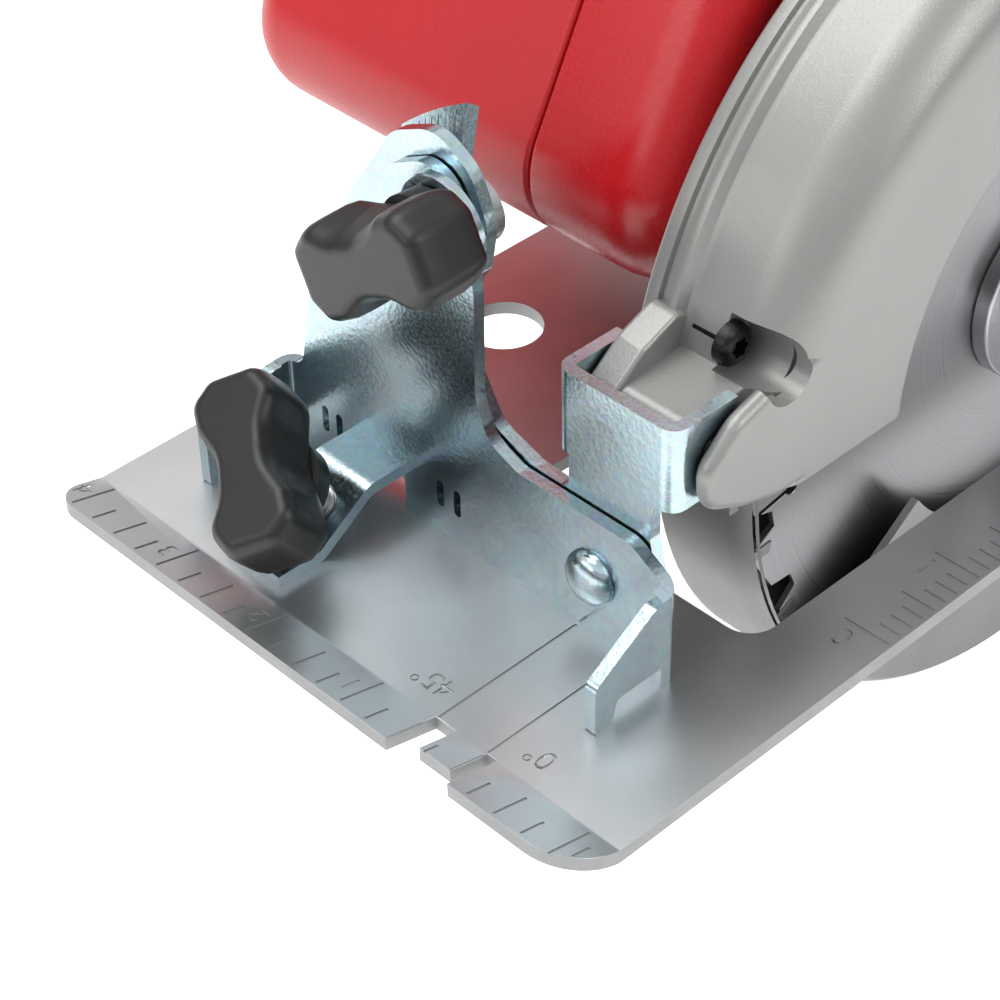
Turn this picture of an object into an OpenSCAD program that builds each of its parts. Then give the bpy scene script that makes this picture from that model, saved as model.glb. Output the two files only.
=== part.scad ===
// Cordless circular saw with a 165 mm blade on the left of the motor.
// Frame: X = 0 is the cut line, +X is the blade side, -Y is the front of the saw,
// Z = 0 is the underside of the sole. The arbor stands at Y = 0.

/* [Blade and arbor] */
// Blade diameter
blade_d = 165; // [160:0.5:168]
// Blade plate thickness
blade_t = 1.4; // [1:0.1:2]
// Number of blade teeth
blade_teeth = 24; // [16:2:40]
// Arbor height above the sole at full depth
arbor_z = 28.5; // [28:0.1:31]
// Bore of the blade
bore_d = 15.875; // [15:0.025:16]

/* [Shoe] */
// Shoe edge on the motor side
shoe_left = 106.5; // [104:0.5:112]
// Shoe edge on the blade side
shoe_right = 31.5; // [30:0.5:36]
// Distance from the arbor to the front edge
shoe_front = 157; // [155:1:165]
// Distance from the arbor to the rear edge
shoe_rear = 123; // [122:1:130]
// Shoe plate thickness
shoe_t = 3; // [2.5:0.1:3.5]
// Length of the toe that is bent up
toe_len = 11.5; // [8:0.5:14]
// Rise of the toe
toe_rise = 2.9; // [0:0.1:4]

/* [Bevel] */
// Bevel axis, sideways from the cut line
pivot_x = -9; // [-10:0.1:-8]
// Bevel axis, height above the sole
pivot_z = 16; // [15.5:0.1:17]
// Largest bevel angle
bevel_max = 50; // [45:1:50]
// Radius of the slot that the bevel bolt rides in
slot_r = 67.3; // [66:0.1:68]
// Bracket sheet thickness
sheet = 2.5; // [2:0.1:2.6]

/* [Depth] */
// Depth pivot, distance in front of the arbor
nose_y = 98; // [97:0.5:99]
// Depth pivot height above the sole
nose_z = 46; // [45:0.5:47]
// Largest swing of the depth adjustment
depth_max = 30; // [20:1:31]

/* [Gears] */
// Teeth on the spindle gear
gear_teeth = 44; // [40:1:46]
// Teeth on the motor pinion
pinion_teeth = 11; // [10:1:12]
// Gear module
gear_m = 1; // [1:0.05:1]

/* [Hidden] */
$fn = 72;
blade_r = blade_d / 2;
front = -shoe_front;
bracket_y = -111;             // front face of the fixed bracket
tilt_y = bracket_y + sheet + 0.4;   // front face of the tilting plate
bolt_angle = 121;             // where the bevel bolt stands on its slot
bolt_x = pivot_x + slot_r * cos(bolt_angle);
bolt_z = pivot_z + slot_r * sin(bolt_angle);
pin_y = -nose_y;
guard_r = 91.5;               // outside radius of the upper guard
boss_r = 25;                  // journal that the lower guard turns on
guard_in = -21;               // motor side of the upper guard
guard_out = 11.5;             // blade side of the upper guard
window_r = 53;                // round window over the flange
lower_r = 87;                 // outside radius of the lower guard
centres = gear_m * (gear_teeth + pinion_teeth) / 2;
motor_y = -centres * 0.6;
motor_z = arbor_z + centres * 0.8;
lock_y = 16;                  // spindle lock button
lock_z = 18;
handle_x = -42;               // middle plane of the handle
wrench_x = -66;
wrench_z = 92;
joint_x = -58;                // groove between the housing and its cover
arm_r = 176;                  // radius of the depth slot about the nose pin
arm_x = guard_in - 0.4;       // blade-side face of the depth arm
depth_bolt_a = -2;            // where the depth bolt stands on its slot
depth_bolt_y = pin_y + arm_r * cos(depth_bolt_a);
depth_bolt_z = nose_z + arm_r * sin(depth_bolt_a);
fence_y = -127;               // foot of the fence screw's axis
fence_z = 10;
fence_tilt = 40;              // lean of the fence screw from upright
fence_x = -65;
lever_x = arm_x - sheet;      // motor-side face of the depth arm

// ---- helpers -------------------------------------------------------------

module box(low, high) { translate(low) cube(high - low); }

// Outline in (y, z), swept along X from x0 to x1
module x_prism(x0, x1) {
  translate([x0, 0, 0]) rotate([90, 0, 90]) linear_extrude(x1 - x0) children();
}

// Outline in (x, z), swept along Y from y0 to y1
module y_prism(y0, y1) {
  translate([0, y1, 0]) rotate([90, 0, 0]) linear_extrude(y1 - y0) children();
}

module x_rod(x0, x1, r, y, z) {
  translate([x0, y, z]) rotate([0, 90, 0]) cylinder(h = x1 - x0, r = r);
}

module y_rod(y0, y1, r, x, z) {
  translate([x, y0, z]) rotate([-90, 0, 0]) cylinder(h = y1 - y0, r = r);
}

module x_ring(x0, x1, outer, inner, y, z) {
  difference() {
    x_rod(x0, x1, outer, y, z);
    x_rod(x0 - 1, x1 + 1, inner, y, z);
  }
}

// Profile in (radius, x), turned about the arbor from angle a0 to a1;
// 0 points to the rear, 90 up and 180 to the front
module about_arbor(a0, a1) {
  translate([0, 0, arbor_z]) rotate([90, 0, 90]) rotate([0, 0, a0])
    rotate_extrude(angle = a1 - a0, $fn = 120) children();
}

// Wedge from angle a0 to a1 about a point, in (y, z)
module sector(a0, a1, y = 0, z = arbor_z) {
  reach = 260;
  translate([y, z]) polygon(concat([[0, 0]],
    [for (i = [0 : 4]) let (a = a0 + (a1 - a0) * i / 4) reach * [cos(a), sin(a)]]));
}

// Part of a flat ring about the nose pin, from angle a0 to a1
module nose_arc(x0, x1, outer, inner, a0, a1) {
  intersection() {
    x_ring(x0, x1, outer, inner, pin_y, nose_z);
    x_prism(x0 - 1, x1 + 1) sector(a0, a1, pin_y, nose_z);
  }
}

// Profile in (radius, y), turned about the bevel axis from a0 to a1;
// 0 points to the blade side and 90 up
module about_bevel(a0, a1) {
  translate([pivot_x, 0, pivot_z]) rotate([90, 0, 0]) rotate([0, 0, a0])
    rotate_extrude(angle = a1 - a0, $fn = 120) children();
}

// What a corner of radius r loses, for the corner at the origin
module corner_waste(r) {
  difference() {
    translate([-1, -1]) square(r + 1);
    translate([r, r]) circle(r);
  }
}

// A wing knob along +Z, with two pinched thumb scoops and a round neck
module wing_knob(length, width, height, neck) {
  scoop = 26;
  union() {
    translate([0, 0, neck]) difference() {
      intersection() {
        translate([-length / 2, -width / 2, 0]) cube([length, width, height]);
        cylinder(h = height, r = length / 2);
      }
      for (side = [-1, 1])
        translate([0, side * (scoop + width / 2 - 4), -1]) cylinder(h = height + 2, r = scoop);
    }
    cylinder(h = neck + 1, r = 8);
  }
}

// Outline of a spur gear with plain trapezoid teeth
module gear_outline(teeth, turn) {
  root = gear_m * (teeth / 2 - 1.2);
  crest = gear_m * (teeth / 2 + 0.9);
  step = 360 / teeth;
  polygon([for (i = [0 : teeth - 1], k = [0 : 3])
    let (a = turn + step * (i + [-0.34, -0.13, 0.13, 0.34][k]), r = [root, crest, crest, root][k])
      [r * cos(a), r * sin(a)]]);
}

// ---- shoe and its brackets ---------------------------------------------

open_left = -47.5;
open_right = 13.2;
open_front = -93;
open_rear = 92;
notch_len = 11.6;
cut45_x = pivot_x - pivot_x * sqrt(2) - pivot_z;   // cut line at 45 degrees

module shoe_plan() {
  difference() {
    translate([-shoe_left, front]) square([shoe_left + shoe_right, shoe_front + shoe_rear]);
    translate([-shoe_left, front]) corner_waste(6);
    translate([shoe_right, front]) mirror([1, 0]) corner_waste(11);
    translate([-shoe_left, shoe_rear]) mirror([0, 1]) corner_waste(10);
    translate([shoe_right, shoe_rear]) mirror([1, 0]) mirror([0, 1]) corner_waste(11);
    difference() {
      translate([open_left, open_front]) square([open_right - open_left, open_rear - open_front]);
      translate([open_right, open_front]) mirror([1, 0]) corner_waste(6);
    }
    translate([-87, -57]) circle(8.2);
    // sight notches with a finger between them
    translate([cut45_x - 0.6, front - 1]) square([5.2, notch_len + 1]);
    translate([0, front - 1]) square([2.4, notch_len + 1]);
    translate([-8, front - 1]) square([9, 4]);
  }
}

module shoe() {
  color([0.78, 0.79, 0.8]) intersection() {
    linear_extrude(20) shoe_plan();
    x_prism(-shoe_left - 1, shoe_right + 1)
      polygon([[front, toe_rise], [front + toe_len, 0], [shoe_rear, 0],
               [shoe_rear, shoe_t], [front + toe_len, shoe_t], [front, shoe_t + toe_rise]]);
  }
}

bracket_x0 = -92;
bracket_x1 = 10;
wing_z = 29;

// Upright face of the fixed bracket, in (x, z)
module bracket_face() {
  difference() {
    union() {
      polygon([[bracket_x0, shoe_t], [bracket_x0, 21], [-86, 20], [-82, 44], [-52.5, 79],
               [-36, 70], [-36.5, 40], [-33.5, 32.5], [-26.5, wing_z], [0, wing_z],
               [bracket_x1, 22], [bracket_x1, shoe_t]]);
      translate([bolt_x - 0.5, bolt_z]) circle(10);
      translate([1, 20.5]) circle(8.5);
    }
    // window that the strap is folded out of
    translate([-73, shoe_t - 1]) square([15.4, 12]);
    translate([bolt_x, bolt_z]) circle(4.1);
    translate([pivot_x, pivot_z]) circle(3.05);
    for (x = [-80, -78.5, -48, -43.5]) translate([x - 0.6, 10]) square([1.2, 5]);
  }
}

module gusset(x0, top_back, top_front, reach, notch_z) {
  x_prism(x0, x0 + sheet)
    polygon([[bracket_y + sheet, top_back], [bracket_y + sheet, notch_z],
             [bracket_y - 13, notch_z], [bracket_y - 14.5, shoe_t],
             [bracket_y - reach, shoe_t], [bracket_y - reach, top_front],
             [bracket_y - 1, top_back]]);
}

// Strap over the rip fence: shelf, slope and foot, in (y, z)
module strap_outline() {
  shelf = 14;
  polygon([[bracket_y + 0.5, shelf], [bracket_y - 8, shelf], [bracket_y - 21.5, shoe_t + 2.4],
           [bracket_y - 31.5, shoe_t + 2.4], [bracket_y - 31.5, shoe_t],
           [bracket_y - 20.5, shoe_t], [bracket_y - 7, shelf - 2.5], [bracket_y + 0.5, shelf - 2.5]]);
}

module front_bracket() {
  color([0.72, 0.78, 0.82]) {
    difference() {
      union() {
        y_prism(bracket_y, bracket_y + sheet) bracket_face();
        gusset(bracket_x0, 21, 17, 21.5, 8);
        gusset(bracket_x1 - sheet, 23, 13.5, 18.5, 8);
        x_prism(-72.8, -57.6) strap_outline();
      }
      translate([fence_x, fence_y, fence_z]) rotate([fence_tilt, 0, 0])
        cylinder(h = 30, r = 4.05, center = true);
    }
  }
}

rear_y = 107;                 // front face of the fixed rear bracket

module rear_bracket() {
  color([0.72, 0.78, 0.82]) {
    y_prism(rear_y, rear_y + sheet) difference() {
      union() {
        translate([-30, shoe_t]) square([42, 14]);
        translate([pivot_x, pivot_z]) circle(12);
      }
      translate([pivot_x, pivot_z]) circle(3.05);
    }
    box([-30, rear_y + sheet, shoe_t], [12, rear_y + 14, shoe_t + sheet]);
  }
}

// Flush rivets through the strap's foot and the rear flange
module bracket_rivets() {
  color([0.7, 0.75, 0.78]) {
    for (x = [-24, 6])
      translate([x, rear_y + 9, shoe_t + sheet]) cylinder(h = 1.6, r1 = 4, r2 = 2.6);
    for (x = [-70, -60.5])
      translate([x, bracket_y - 28, shoe_t + 2.4]) cylinder(h = 1.2, r1 = 2.2, r2 = 1.4);
  }
}

module bevel_bolt() {
  color([0.7, 0.72, 0.74]) {
    y_rod(bracket_y - 15, tilt_y + sheet + 0.3, 3.9, bolt_x, bolt_z);
    y_rod(tilt_y + sheet + 0.3, tilt_y + sheet + 3.2, 6.3, bolt_x, bolt_z);
  }
}

module bevel_washer() {
  color([0.75, 0.77, 0.79]) difference() {
    y_rod(bracket_y - 1.8, bracket_y, 10, bolt_x, bolt_z);
    y_rod(bracket_y - 3, bracket_y + 1, 4.05, bolt_x, bolt_z);
  }
}

module bevel_knob() {
  color([0.1, 0.1, 0.1]) difference() {
    translate([bolt_x, bracket_y - 2.1, bolt_z]) rotate([90, -12, 0]) wing_knob(38, 21, 15, 3.5);
    y_rod(bracket_y - 15.4, bracket_y, 4.0, bolt_x, bolt_z);
  }
}

module fence_frame() {
  translate([fence_x, fence_y, fence_z]) rotate([fence_tilt, 0, 0]) children();
}

module fence_knob() {
  color([0.1, 0.1, 0.1]) fence_frame() difference() {
    translate([0, 0, 7.5]) rotate([0, 0, 135]) wing_knob(38, 21, 15, 3.5);
    translate([0, 0, 5]) cylinder(h = 14, r = 3.9);
  }
}

module fence_screw() {
  color([0.7, 0.72, 0.74]) fence_frame() translate([0, 0, -4.2]) cylinder(h = 23.2, r = 3.9);
}

// ---- tilting frame ----------------------------------------------------

u_left = -21;
u_right = 7.1;
u_low = 37;
u_high = 54.5;

module tilt_plate() {
  color([0.72, 0.78, 0.82]) difference() {
    union() {
      y_prism(tilt_y, tilt_y + sheet) union() {
        translate([pivot_x, pivot_z]) circle(12.2);
        polygon([[pivot_x, 3.9], [-40, 4.2], [-80, 9], [-84, 24], [-79.5, 48], [-66, 66],
                 [-50, 84], [-33, 78], [-31.5, 66], [-35.5, 40], [-33, 32.5], [-26, wing_z],
                 [1, wing_z], [3.3, 22]]);
        translate([-17.5, wing_z - 1]) square([19.5, u_low + 1 - wing_z]);
        translate([u_left, u_low]) square([u_right - u_left, u_high - u_low]);
      }
      // scale flange, turned back along the top of the plate
      about_bevel(109, 141) polygon([[74, -tilt_y], [74, -tilt_y - sheet], [77, -tilt_y - 11],
                                     [79, -tilt_y - 11], [78, -tilt_y]]);
      box([u_left, tilt_y, u_low], [u_left + sheet, tilt_y + 15.4, u_high]);
      box([u_right - sheet, tilt_y, u_low + 1], [u_right, tilt_y + 15.4, u_high]);
    }
    about_bevel(bolt_angle, bolt_angle + bevel_max)
      translate([slot_r - 4.3, -tilt_y - sheet - 1]) square([8.6, sheet + 2]);
    for (a = [bolt_angle, bolt_angle + bevel_max])
      y_rod(tilt_y - 1, tilt_y + sheet + 1, 4.3,
            pivot_x + slot_r * cos(a), pivot_z + slot_r * sin(a));
    y_rod(tilt_y - 1, tilt_y + sheet + 1, 3, pivot_x, pivot_z);
    x_rod(u_left - 1, u_right + 1, 3, pin_y, nose_z);
  }
}

tail_y = rear_y - 0.4 - sheet;    // front face of the depth arm's rear flange
slot_end = 1.15;                  // the depth slot runs on past the bolt by this angle

module depth_arm() {
  color([0.72, 0.78, 0.82]) difference() {
    union() {
      nose_arc(arm_x - sheet, arm_x, arm_r + 9, arm_r - 9, -7, depth_max + 3);
      x_prism(arm_x - sheet, arm_x)
        polygon([[depth_bolt_y - 9, 28], [depth_bolt_y - 4, 12], [96, 6], [tail_y + sheet, 6],
                 [tail_y + sheet, 28], [96, 44], [depth_bolt_y + 6, 44]]);
      y_prism(tail_y, tail_y + sheet) union() {
        translate([arm_x - sheet, 6]) square([pivot_x - arm_x + sheet, 20]);
        translate([pivot_x, pivot_z]) circle(11.5);
      }
    }
    nose_arc(arm_x - sheet - 1, arm_x + 1, arm_r + 3.4, arm_r - 3.4,
             depth_bolt_a - slot_end, depth_bolt_a + depth_max + slot_end);
    y_rod(tail_y - 1, tail_y + sheet + 1, 3, pivot_x, pivot_z);
  }
}

module bevel_pivot_pins() {
  color([0.75, 0.77, 0.79]) {
    y_rod(bracket_y - 0.2, tilt_y + sheet, 3, pivot_x, pivot_z);
    translate([pivot_x, bracket_y - 0.2, pivot_z]) rotate([90, 0, 0])
      cylinder(h = 3, r1 = 5.6, r2 = 3.4);
    y_rod(tail_y, rear_y + sheet + 0.2, 3, pivot_x, pivot_z);
    translate([pivot_x, rear_y + sheet + 0.2, pivot_z]) rotate([-90, 0, 0])
      cylinder(h = 3, r1 = 5.6, r2 = 3.4);
  }
}

module depth_pivot_pin() {
  color([0.7, 0.72, 0.74]) x_rod(u_left - 1.5, u_right, 3, pin_y, nose_z);
}

// ---- upper guard and gear case ------------------------------------------

wall = 3;

module upper_guard() {
  low = 31;
  color([0.66, 0.66, 0.65]) difference() {
    union() {
      difference() {
        about_arbor(0, 360) polygon(concat(
          [[guard_r, guard_in], [guard_r, guard_out - 8]],
          [for (a = [15 : 15 : 75]) [guard_r - 8 + 8 * cos(a), guard_out - 8 + 8 * sin(a)]],
          [[guard_r - 8, guard_out], [window_r, guard_out], [window_r, guard_out - wall],
           [guard_r - wall - 0.5, guard_out - wall], [guard_r - wall, guard_out - wall - 0.5],
           [guard_r - wall, guard_in + wall], [boss_r, guard_in + wall], [boss_r, -7], [20, -7],
           [20, -10], [14.05, -10], [14.05, guard_in]]));
        // the open lower half, around the wall that closes the gear case
        difference() {
          union() {
            x_prism(guard_in - 1, guard_out + 1) sector(186, 352);
            box([guard_out - 8.2, -120, -80], [guard_out + 2, 120, low]);
            box([guard_in - 2, -120, -80], [guard_out, 0, 24]);
          }
          x_rod(guard_in - 3, 0, 26.5, 0, arbor_z);
        }
      }
      difference() {
        union() {
          // nose between the flanges of the tilting plate
          x_prism(u_left + sheet + 0.4, u_right - sheet - 0.4) union() {
            polygon([[pin_y - 6.9, nose_z + 1.5], [pin_y - 4.6, nose_z + 5], [-83, 66], [-81, 50],
                     [-81.5, 41], [pin_y + 2, nose_z - 6.7]]);
            translate([pin_y, nose_z]) circle(6.9);
          }
          // cheek that covers the end of the nose pin
          x_prism(u_right + 0.5, guard_out) union() {
            polygon([[-96, 34], [-86, low], [-60, low], [-75, 62], [-90, 62], [-104, 47]]);
            translate([-96, 44]) circle(9.6);
          }
        }
        x_rod(guard_in + wall, guard_out - wall, guard_r - wall, 0, arbor_z);
      }
    }
    x_rod(u_left, u_right, 3.06, pin_y, nose_z);
    x_rod(guard_in - 2, guard_out - 6, 3.06, depth_bolt_y, depth_bolt_z);
    // recess for the nose screw
    x_rod(nose_screw_x, guard_out + 1, 8, -92, 59.5);
    x_rod(nose_screw_x - 10, nose_screw_x + 1, 1.9, nose_screw_y, nose_screw_z);
  }
}

nose_screw_x = 1.5;
nose_screw_y = -91;
nose_screw_z = 59;

// The nose screw, and two more that hold the wall of the guard to the gear case side
module guard_screws() {
  color([0.12, 0.12, 0.12]) {
    x_rod(nose_screw_x, nose_screw_x + 2.9, 4.2, nose_screw_y, nose_screw_z);
    x_rod(nose_screw_x - 9.8, nose_screw_x, 1.9, nose_screw_y, nose_screw_z);
    for (p = [[46, 86], [-8, 104]]) x_rod(guard_in - 2.2, guard_in, 4, p[0], p[1]);
  }
}

case_x1 = guard_in;
case_x0 = -45.5;

module case_outline(grow) {
  hull() {
    translate([0, arbor_z]) circle(24 + grow, $fn = 48);
    translate([motor_y, motor_z]) circle(20 + grow, $fn = 48);
  }
}

module gear_case() {
  color([0.6, 0.6, 0.6]) difference() {
    x_prism(case_x0, case_x1) case_outline(2.5);
    x_prism(case_x0 + 8, case_x1 + 1) case_outline(0);
    x_rod(case_x0 - 1, case_x1, 11, 0, arbor_z);
    x_rod(case_x0 - 1, case_x1, 11, motor_y, motor_z);
    x_rod(case_x0 - 1, case_x0 + 9, 3.1, lock_y, lock_z);
  }
}

module spindle_bearings() {
  color([0.8, 0.8, 0.82]) {
    x_ring(-19, -11, 14, 6.05, 0, arbor_z);
    x_ring(case_x0 + 0.5, case_x0 + 7.5, 10.95, 5.05, 0, arbor_z);
  }
}

module guard_spring() {
  color([0.5, 0.5, 0.52]) for (i = [0 : 2])
    translate([-16.9 + 2.2 * i, 0, arbor_z]) rotate([0, 90, 0])
      rotate_extrude() translate([boss_r + 1.6, 0]) circle(0.8, $fn = 16);
}

module guard_bumper() {
  color([0.1, 0.1, 0.1]) box([guard_in + wall, 68, 52], [-9, 75, 60]);
}

// ---- spindle and blade --------------------------------------------------

module spindle() {
  color([0.7, 0.7, 0.72]) difference() {
    union() {
      x_rod(case_x0, case_x0 + 9, 5, 0, arbor_z);
      x_rod(case_x0 + 9, -11, 6, 0, arbor_z);
      x_rod(-11, 4.3, 5, 0, arbor_z);
    }
    x_rod(-8, 6, 3, 0, arbor_z);
  }
}

gear_x0 = -35;
gear_x1 = -25;

module spindle_gear() {
  color([0.65, 0.65, 0.68]) difference() {
    x_prism(gear_x0, gear_x1) translate([0, arbor_z]) gear_outline(gear_teeth, 0);
    x_rod(gear_x0 - 1, gear_x1 + 1, 6, 0, arbor_z);
  }
}

module inner_flange() {
  color([0.6, 0.6, 0.62]) difference() {
    union() {
      x_rod(-5.5, -blade_t / 2, 17.5, 0, arbor_z);
      x_rod(-blade_t / 2 - 0.1, blade_t / 2 - 0.2, bore_d / 2 - 0.05, 0, arbor_z);
    }
    x_rod(-10, 5, 5, 0, arbor_z);
  }
}

module saw_blade() {
  gullet = 7;
  step = 360 / blade_teeth;
  color([0.6, 0.61, 0.62]) difference() {
    x_prism(-blade_t / 2, blade_t / 2) translate([0, arbor_z])
      polygon([for (i = [0 : blade_teeth - 1], k = [0 : 4])
        let (a = step * (i + [0, 0.1, 0.3, 0.42, 0.8][k]),
             r = blade_r - [0, gullet, gullet, 2.4, 0.8][k]) [r * cos(-a), r * sin(-a)]]);
    x_rod(-2, 2, bore_d / 2, 0, arbor_z);
  }
}

module outer_flange() {
  color([0.62, 0.62, 0.64]) difference() {
    x_rod(blade_t / 2, 4.4, 19, 0, arbor_z);
    x_rod(-2, 6, 5.02, 0, arbor_z);
  }
}

module blade_bolt() {
  color([0.2, 0.2, 0.2]) difference() {
    union() {
      x_rod(-7, 5, 3, 0, arbor_z);
      x_rod(4.4, 6, 9, 0, arbor_z);
      x_rod(6, 11.5, 6.5, 0, arbor_z);
    }
    translate([8, 0, arbor_z]) rotate([0, 90, 0]) cylinder(h = 6, r = 2.9, $fn = 6);
  }
}

// ---- lower guard --------------------------------------------------------

module lower_guard() {
  color([0.7, 0.7, 0.69]) difference() {
    about_arbor(0, 360) polygon([
      [lower_r, -7], [lower_r, 7], [48, 7], [48, 5.4], [lower_r - 1.8, 5.4],
      [lower_r - 1.8, -5.4], [boss_r + 0.3, -5.4], [boss_r + 0.3, -9.4],
      [boss_r + 5, -9.4], [boss_r + 5, -7]]);
    // open top, around the hub
    difference() {
      x_prism(-12, 8) sector(14, 172);
      x_rod(-13, 0, boss_r + 5, 0, arbor_z);
    }
    // cut-back of the blade-side wall at the front
    intersection() {
      x_prism(4, 9) sector(170, 216);
      x_rod(3, 10, lower_r - 2.5, 0, arbor_z);
    }
  }
}

module guard_lever() {
  color([0.12, 0.12, 0.12]) about_arbor(361, 373) union() {
    polygon([[48, 7], [62, 7], [62, 8.2], [52.2, 8.2], [51, 16.5], [47, 18], [45, 16.5], [46, 7]]);
  }
}

// ---- motor --------------------------------------------------------------

can_x0 = -124;
can_x1 = -60;
can_r = 27;

module motor_can() {
  color([0.35, 0.35, 0.37]) {
    x_ring(can_x0, can_x1, can_r, can_r - 2, motor_y, motor_z);
    x_ring(can_x0, can_x0 + 2.5, can_r, 9.52, motor_y, motor_z);
  }
}

module magnets() {
  color([0.15, 0.15, 0.16]) difference() {
    x_ring(-100, can_x1 - 4, can_r - 2.02, can_r - 6.5, motor_y, motor_z);
    for (a = [0, 90])
      translate([-130, motor_y, motor_z]) rotate([a, 0, 0]) translate([0, -40, -3]) cube([80, 80, 6]);
  }
}

module rotor_shaft() {
  color([0.7, 0.7, 0.72]) {
    x_rod(-128, gear_x0 - 1, 3.5, motor_y, motor_z);
    x_prism(gear_x0 - 1, gear_x1 + 0.5) translate([motor_y, motor_z])
      gear_outline(pinion_teeth, -atan(0.8 / 0.6));
  }
}

module rotor_core() {
  color([0.3, 0.3, 0.32]) difference() {
    x_rod(-99, can_x1 - 5, 19.5, motor_y, motor_z);
    x_rod(-130, -50, 3.5, motor_y, motor_z);
    for (a = [0 : 30 : 330]) translate([-110, motor_y, motor_z]) rotate([a, 0, 0])
      translate([0, 15, -1.2]) cube([60, 6, 2.4]);
  }
}

module commutator() {
  color([0.72, 0.45, 0.25]) x_ring(-117, -103, 9, 3.5, motor_y, motor_z);
}

module fan() {
  color([0.1, 0.1, 0.1]) difference() {
    union() {
      x_ring(-58, -56, 25, 3.5, motor_y, motor_z);
      for (a = [0 : 30 : 330]) translate([-56.5, motor_y, motor_z]) rotate([a, 0, 0])
        translate([0, 9, -0.7]) cube([5, 15, 1.4]);
    }
  }
}

module motor_bearings() {
  color([0.8, 0.8, 0.82]) {
    x_ring(case_x0 + 0.5, case_x0 + 7.5, 10.95, 3.55, motor_y, motor_z);
    x_ring(-127, -121, 9.5, 3.55, motor_y, motor_z);
  }
}

module brush_holders() {
  color([0.55, 0.45, 0.25]) difference() {
    union() {
      x_ring(-120.5, -118, can_r - 2.05, 10, motor_y, motor_z);
      for (s = [-1, 1]) box([-118.2, motor_y + s * 17 - 6.5, motor_z - 4.5],
                            [-106, motor_y + s * 17 + 6.5, motor_z + 4.5]);
    }
    box([-116, motor_y - 30, motor_z - 3], [-108, motor_y + 30, motor_z + 3]);
  }
}

module brushes() {
  color([0.2, 0.2, 0.2]) for (s = [-1, 1])
    box([-115.9, motor_y + s * 15.5 - 6.3, motor_z - 2.9], [-108.1, motor_y + s * 15.5 + 6.3, motor_z + 2.9]);
}

// Outline of the red housing, in (y, z)
module housing_outline(grow) {
  hull() {
    translate([-60, 61]) circle(18 + grow, $fn = 48);
    translate([-36, 94]) circle(24 + grow, $fn = 48);
    translate([motor_y, motor_z + 1]) circle(33 + grow, $fn = 48);
  }
}

end_x = -140;

module motor_housing() {
  color([0.75, 0.1, 0.09]) difference() {
    union() {
      x_prism(joint_x, -31) housing_outline(0);
      x_prism(-31.01, -26) housing_outline(-4);
    }
    x_prism(joint_x - 1, -29) housing_outline(-6);
    x_prism(-60, -20) case_outline(2.9);
  }
}

module motor_cover() {
  color([0.75, 0.1, 0.09]) difference() {
    union() {
      x_prism(-133, joint_x) housing_outline(0);
      x_prism(end_x, -132.99) housing_outline(-5);
    }
    x_prism(-131, joint_x + 1) difference() {
      housing_outline(-3);
      difference() {
        translate([motor_y, motor_z]) circle(50);
        translate([motor_y, motor_z]) circle(can_r + 0.02);
        translate([-80, 78]) square([80, 60]);
        translate([-100, 20]) square([58, 60]);
      }
    }
    x_rod(-134, -120, 9.55, motor_y, motor_z);
  }
}

// ---- handle -------------------------------------------------------------

half_w = 17;

// Outline of the rear handle with its finger opening, in (y, z)
module handle_outline() {
  difference() {
    polygon([[22, 68], [0, 84], [-20, 100], [-34, 112], [-30, 126], [-12, 148], [12, 172],
             [42, 190], [72, 198], [100, 192], [130, 170], [152, 142], [160, 118],
             [160, 88.4], [100, 88.4], [64, 76]]);
    polygon([[46, 104], [36, 124], [40, 142], [62, 156], [86, 158], [104, 150], [122, 130],
             [122, 112], [108, 102]]);
  }
}

module handle_half(x0, x1, in0, in1) {
  difference() {
    x_prism(x0, x1) handle_outline();
    x_prism(in0, in1) offset(delta = -3.2) handle_outline();
    // room for the motor housing
    x_prism(x0 - 1, x1 + 1) housing_outline(0.02);
    // trigger and lock-off openings
    box([handle_x - 6.2, 42, 138], [handle_x + 6.2, 67.6, 168]);
    box([handle_x - 5.2, 50, 178], [handle_x + 5.2, 66, 205]);
  }
}

module handle_left() {
  color([0.75, 0.1, 0.09]) handle_half(handle_x - half_w, handle_x, handle_x - half_w + 3.2, handle_x + 1);
}

module handle_right() {
  color([0.75, 0.1, 0.09]) handle_half(handle_x, handle_x + half_w, handle_x - 1, handle_x + half_w - 3.2);
}

module grip_pad() {
  color([0.09, 0.09, 0.09]) x_prism(handle_x - 13, handle_x + 13) polygon([
    [72, 198.01], [100, 192.01], [130, 170.02], [152, 142.02], [154.6, 143.4], [132, 172.6],
    [101, 194.6], [72, 200.6]]);
}

module front_grip() {
  color([0.09, 0.09, 0.09]) {
    x_prism(-118, -66) difference() {
      polygon([[-52, 110], [-52, 118], [-36, 142], [-14, 142], [-2, 118], [-2, 90]]);
      housing_outline(0.02);
    }
  }
}

module switch_module() {
  color([0.15, 0.15, 0.15]) box([handle_x - 10, 68, 162.5], [handle_x + 10, 100, 184]);
}

module trigger() {
  color([0.1, 0.1, 0.1]) x_prism(handle_x - 5.8, handle_x + 5.8)
    polygon([[43, 142], [46, 139.5], [64, 150], [64, 164], [56, 167], [44, 158]]);
}

module lock_off_button() {
  color([0.1, 0.1, 0.1]) {
    box([handle_x - 4.8, 50.6, 184], [handle_x + 4.8, 65.4, 199]);
  }
}

// ---- battery and its mount -------------------------------------------------

pack_x0 = -79.5;
pack_x1 = -4.5;
pack_y0 = 118;
pack_y1 = 218;
pack_z1 = 76;

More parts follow.
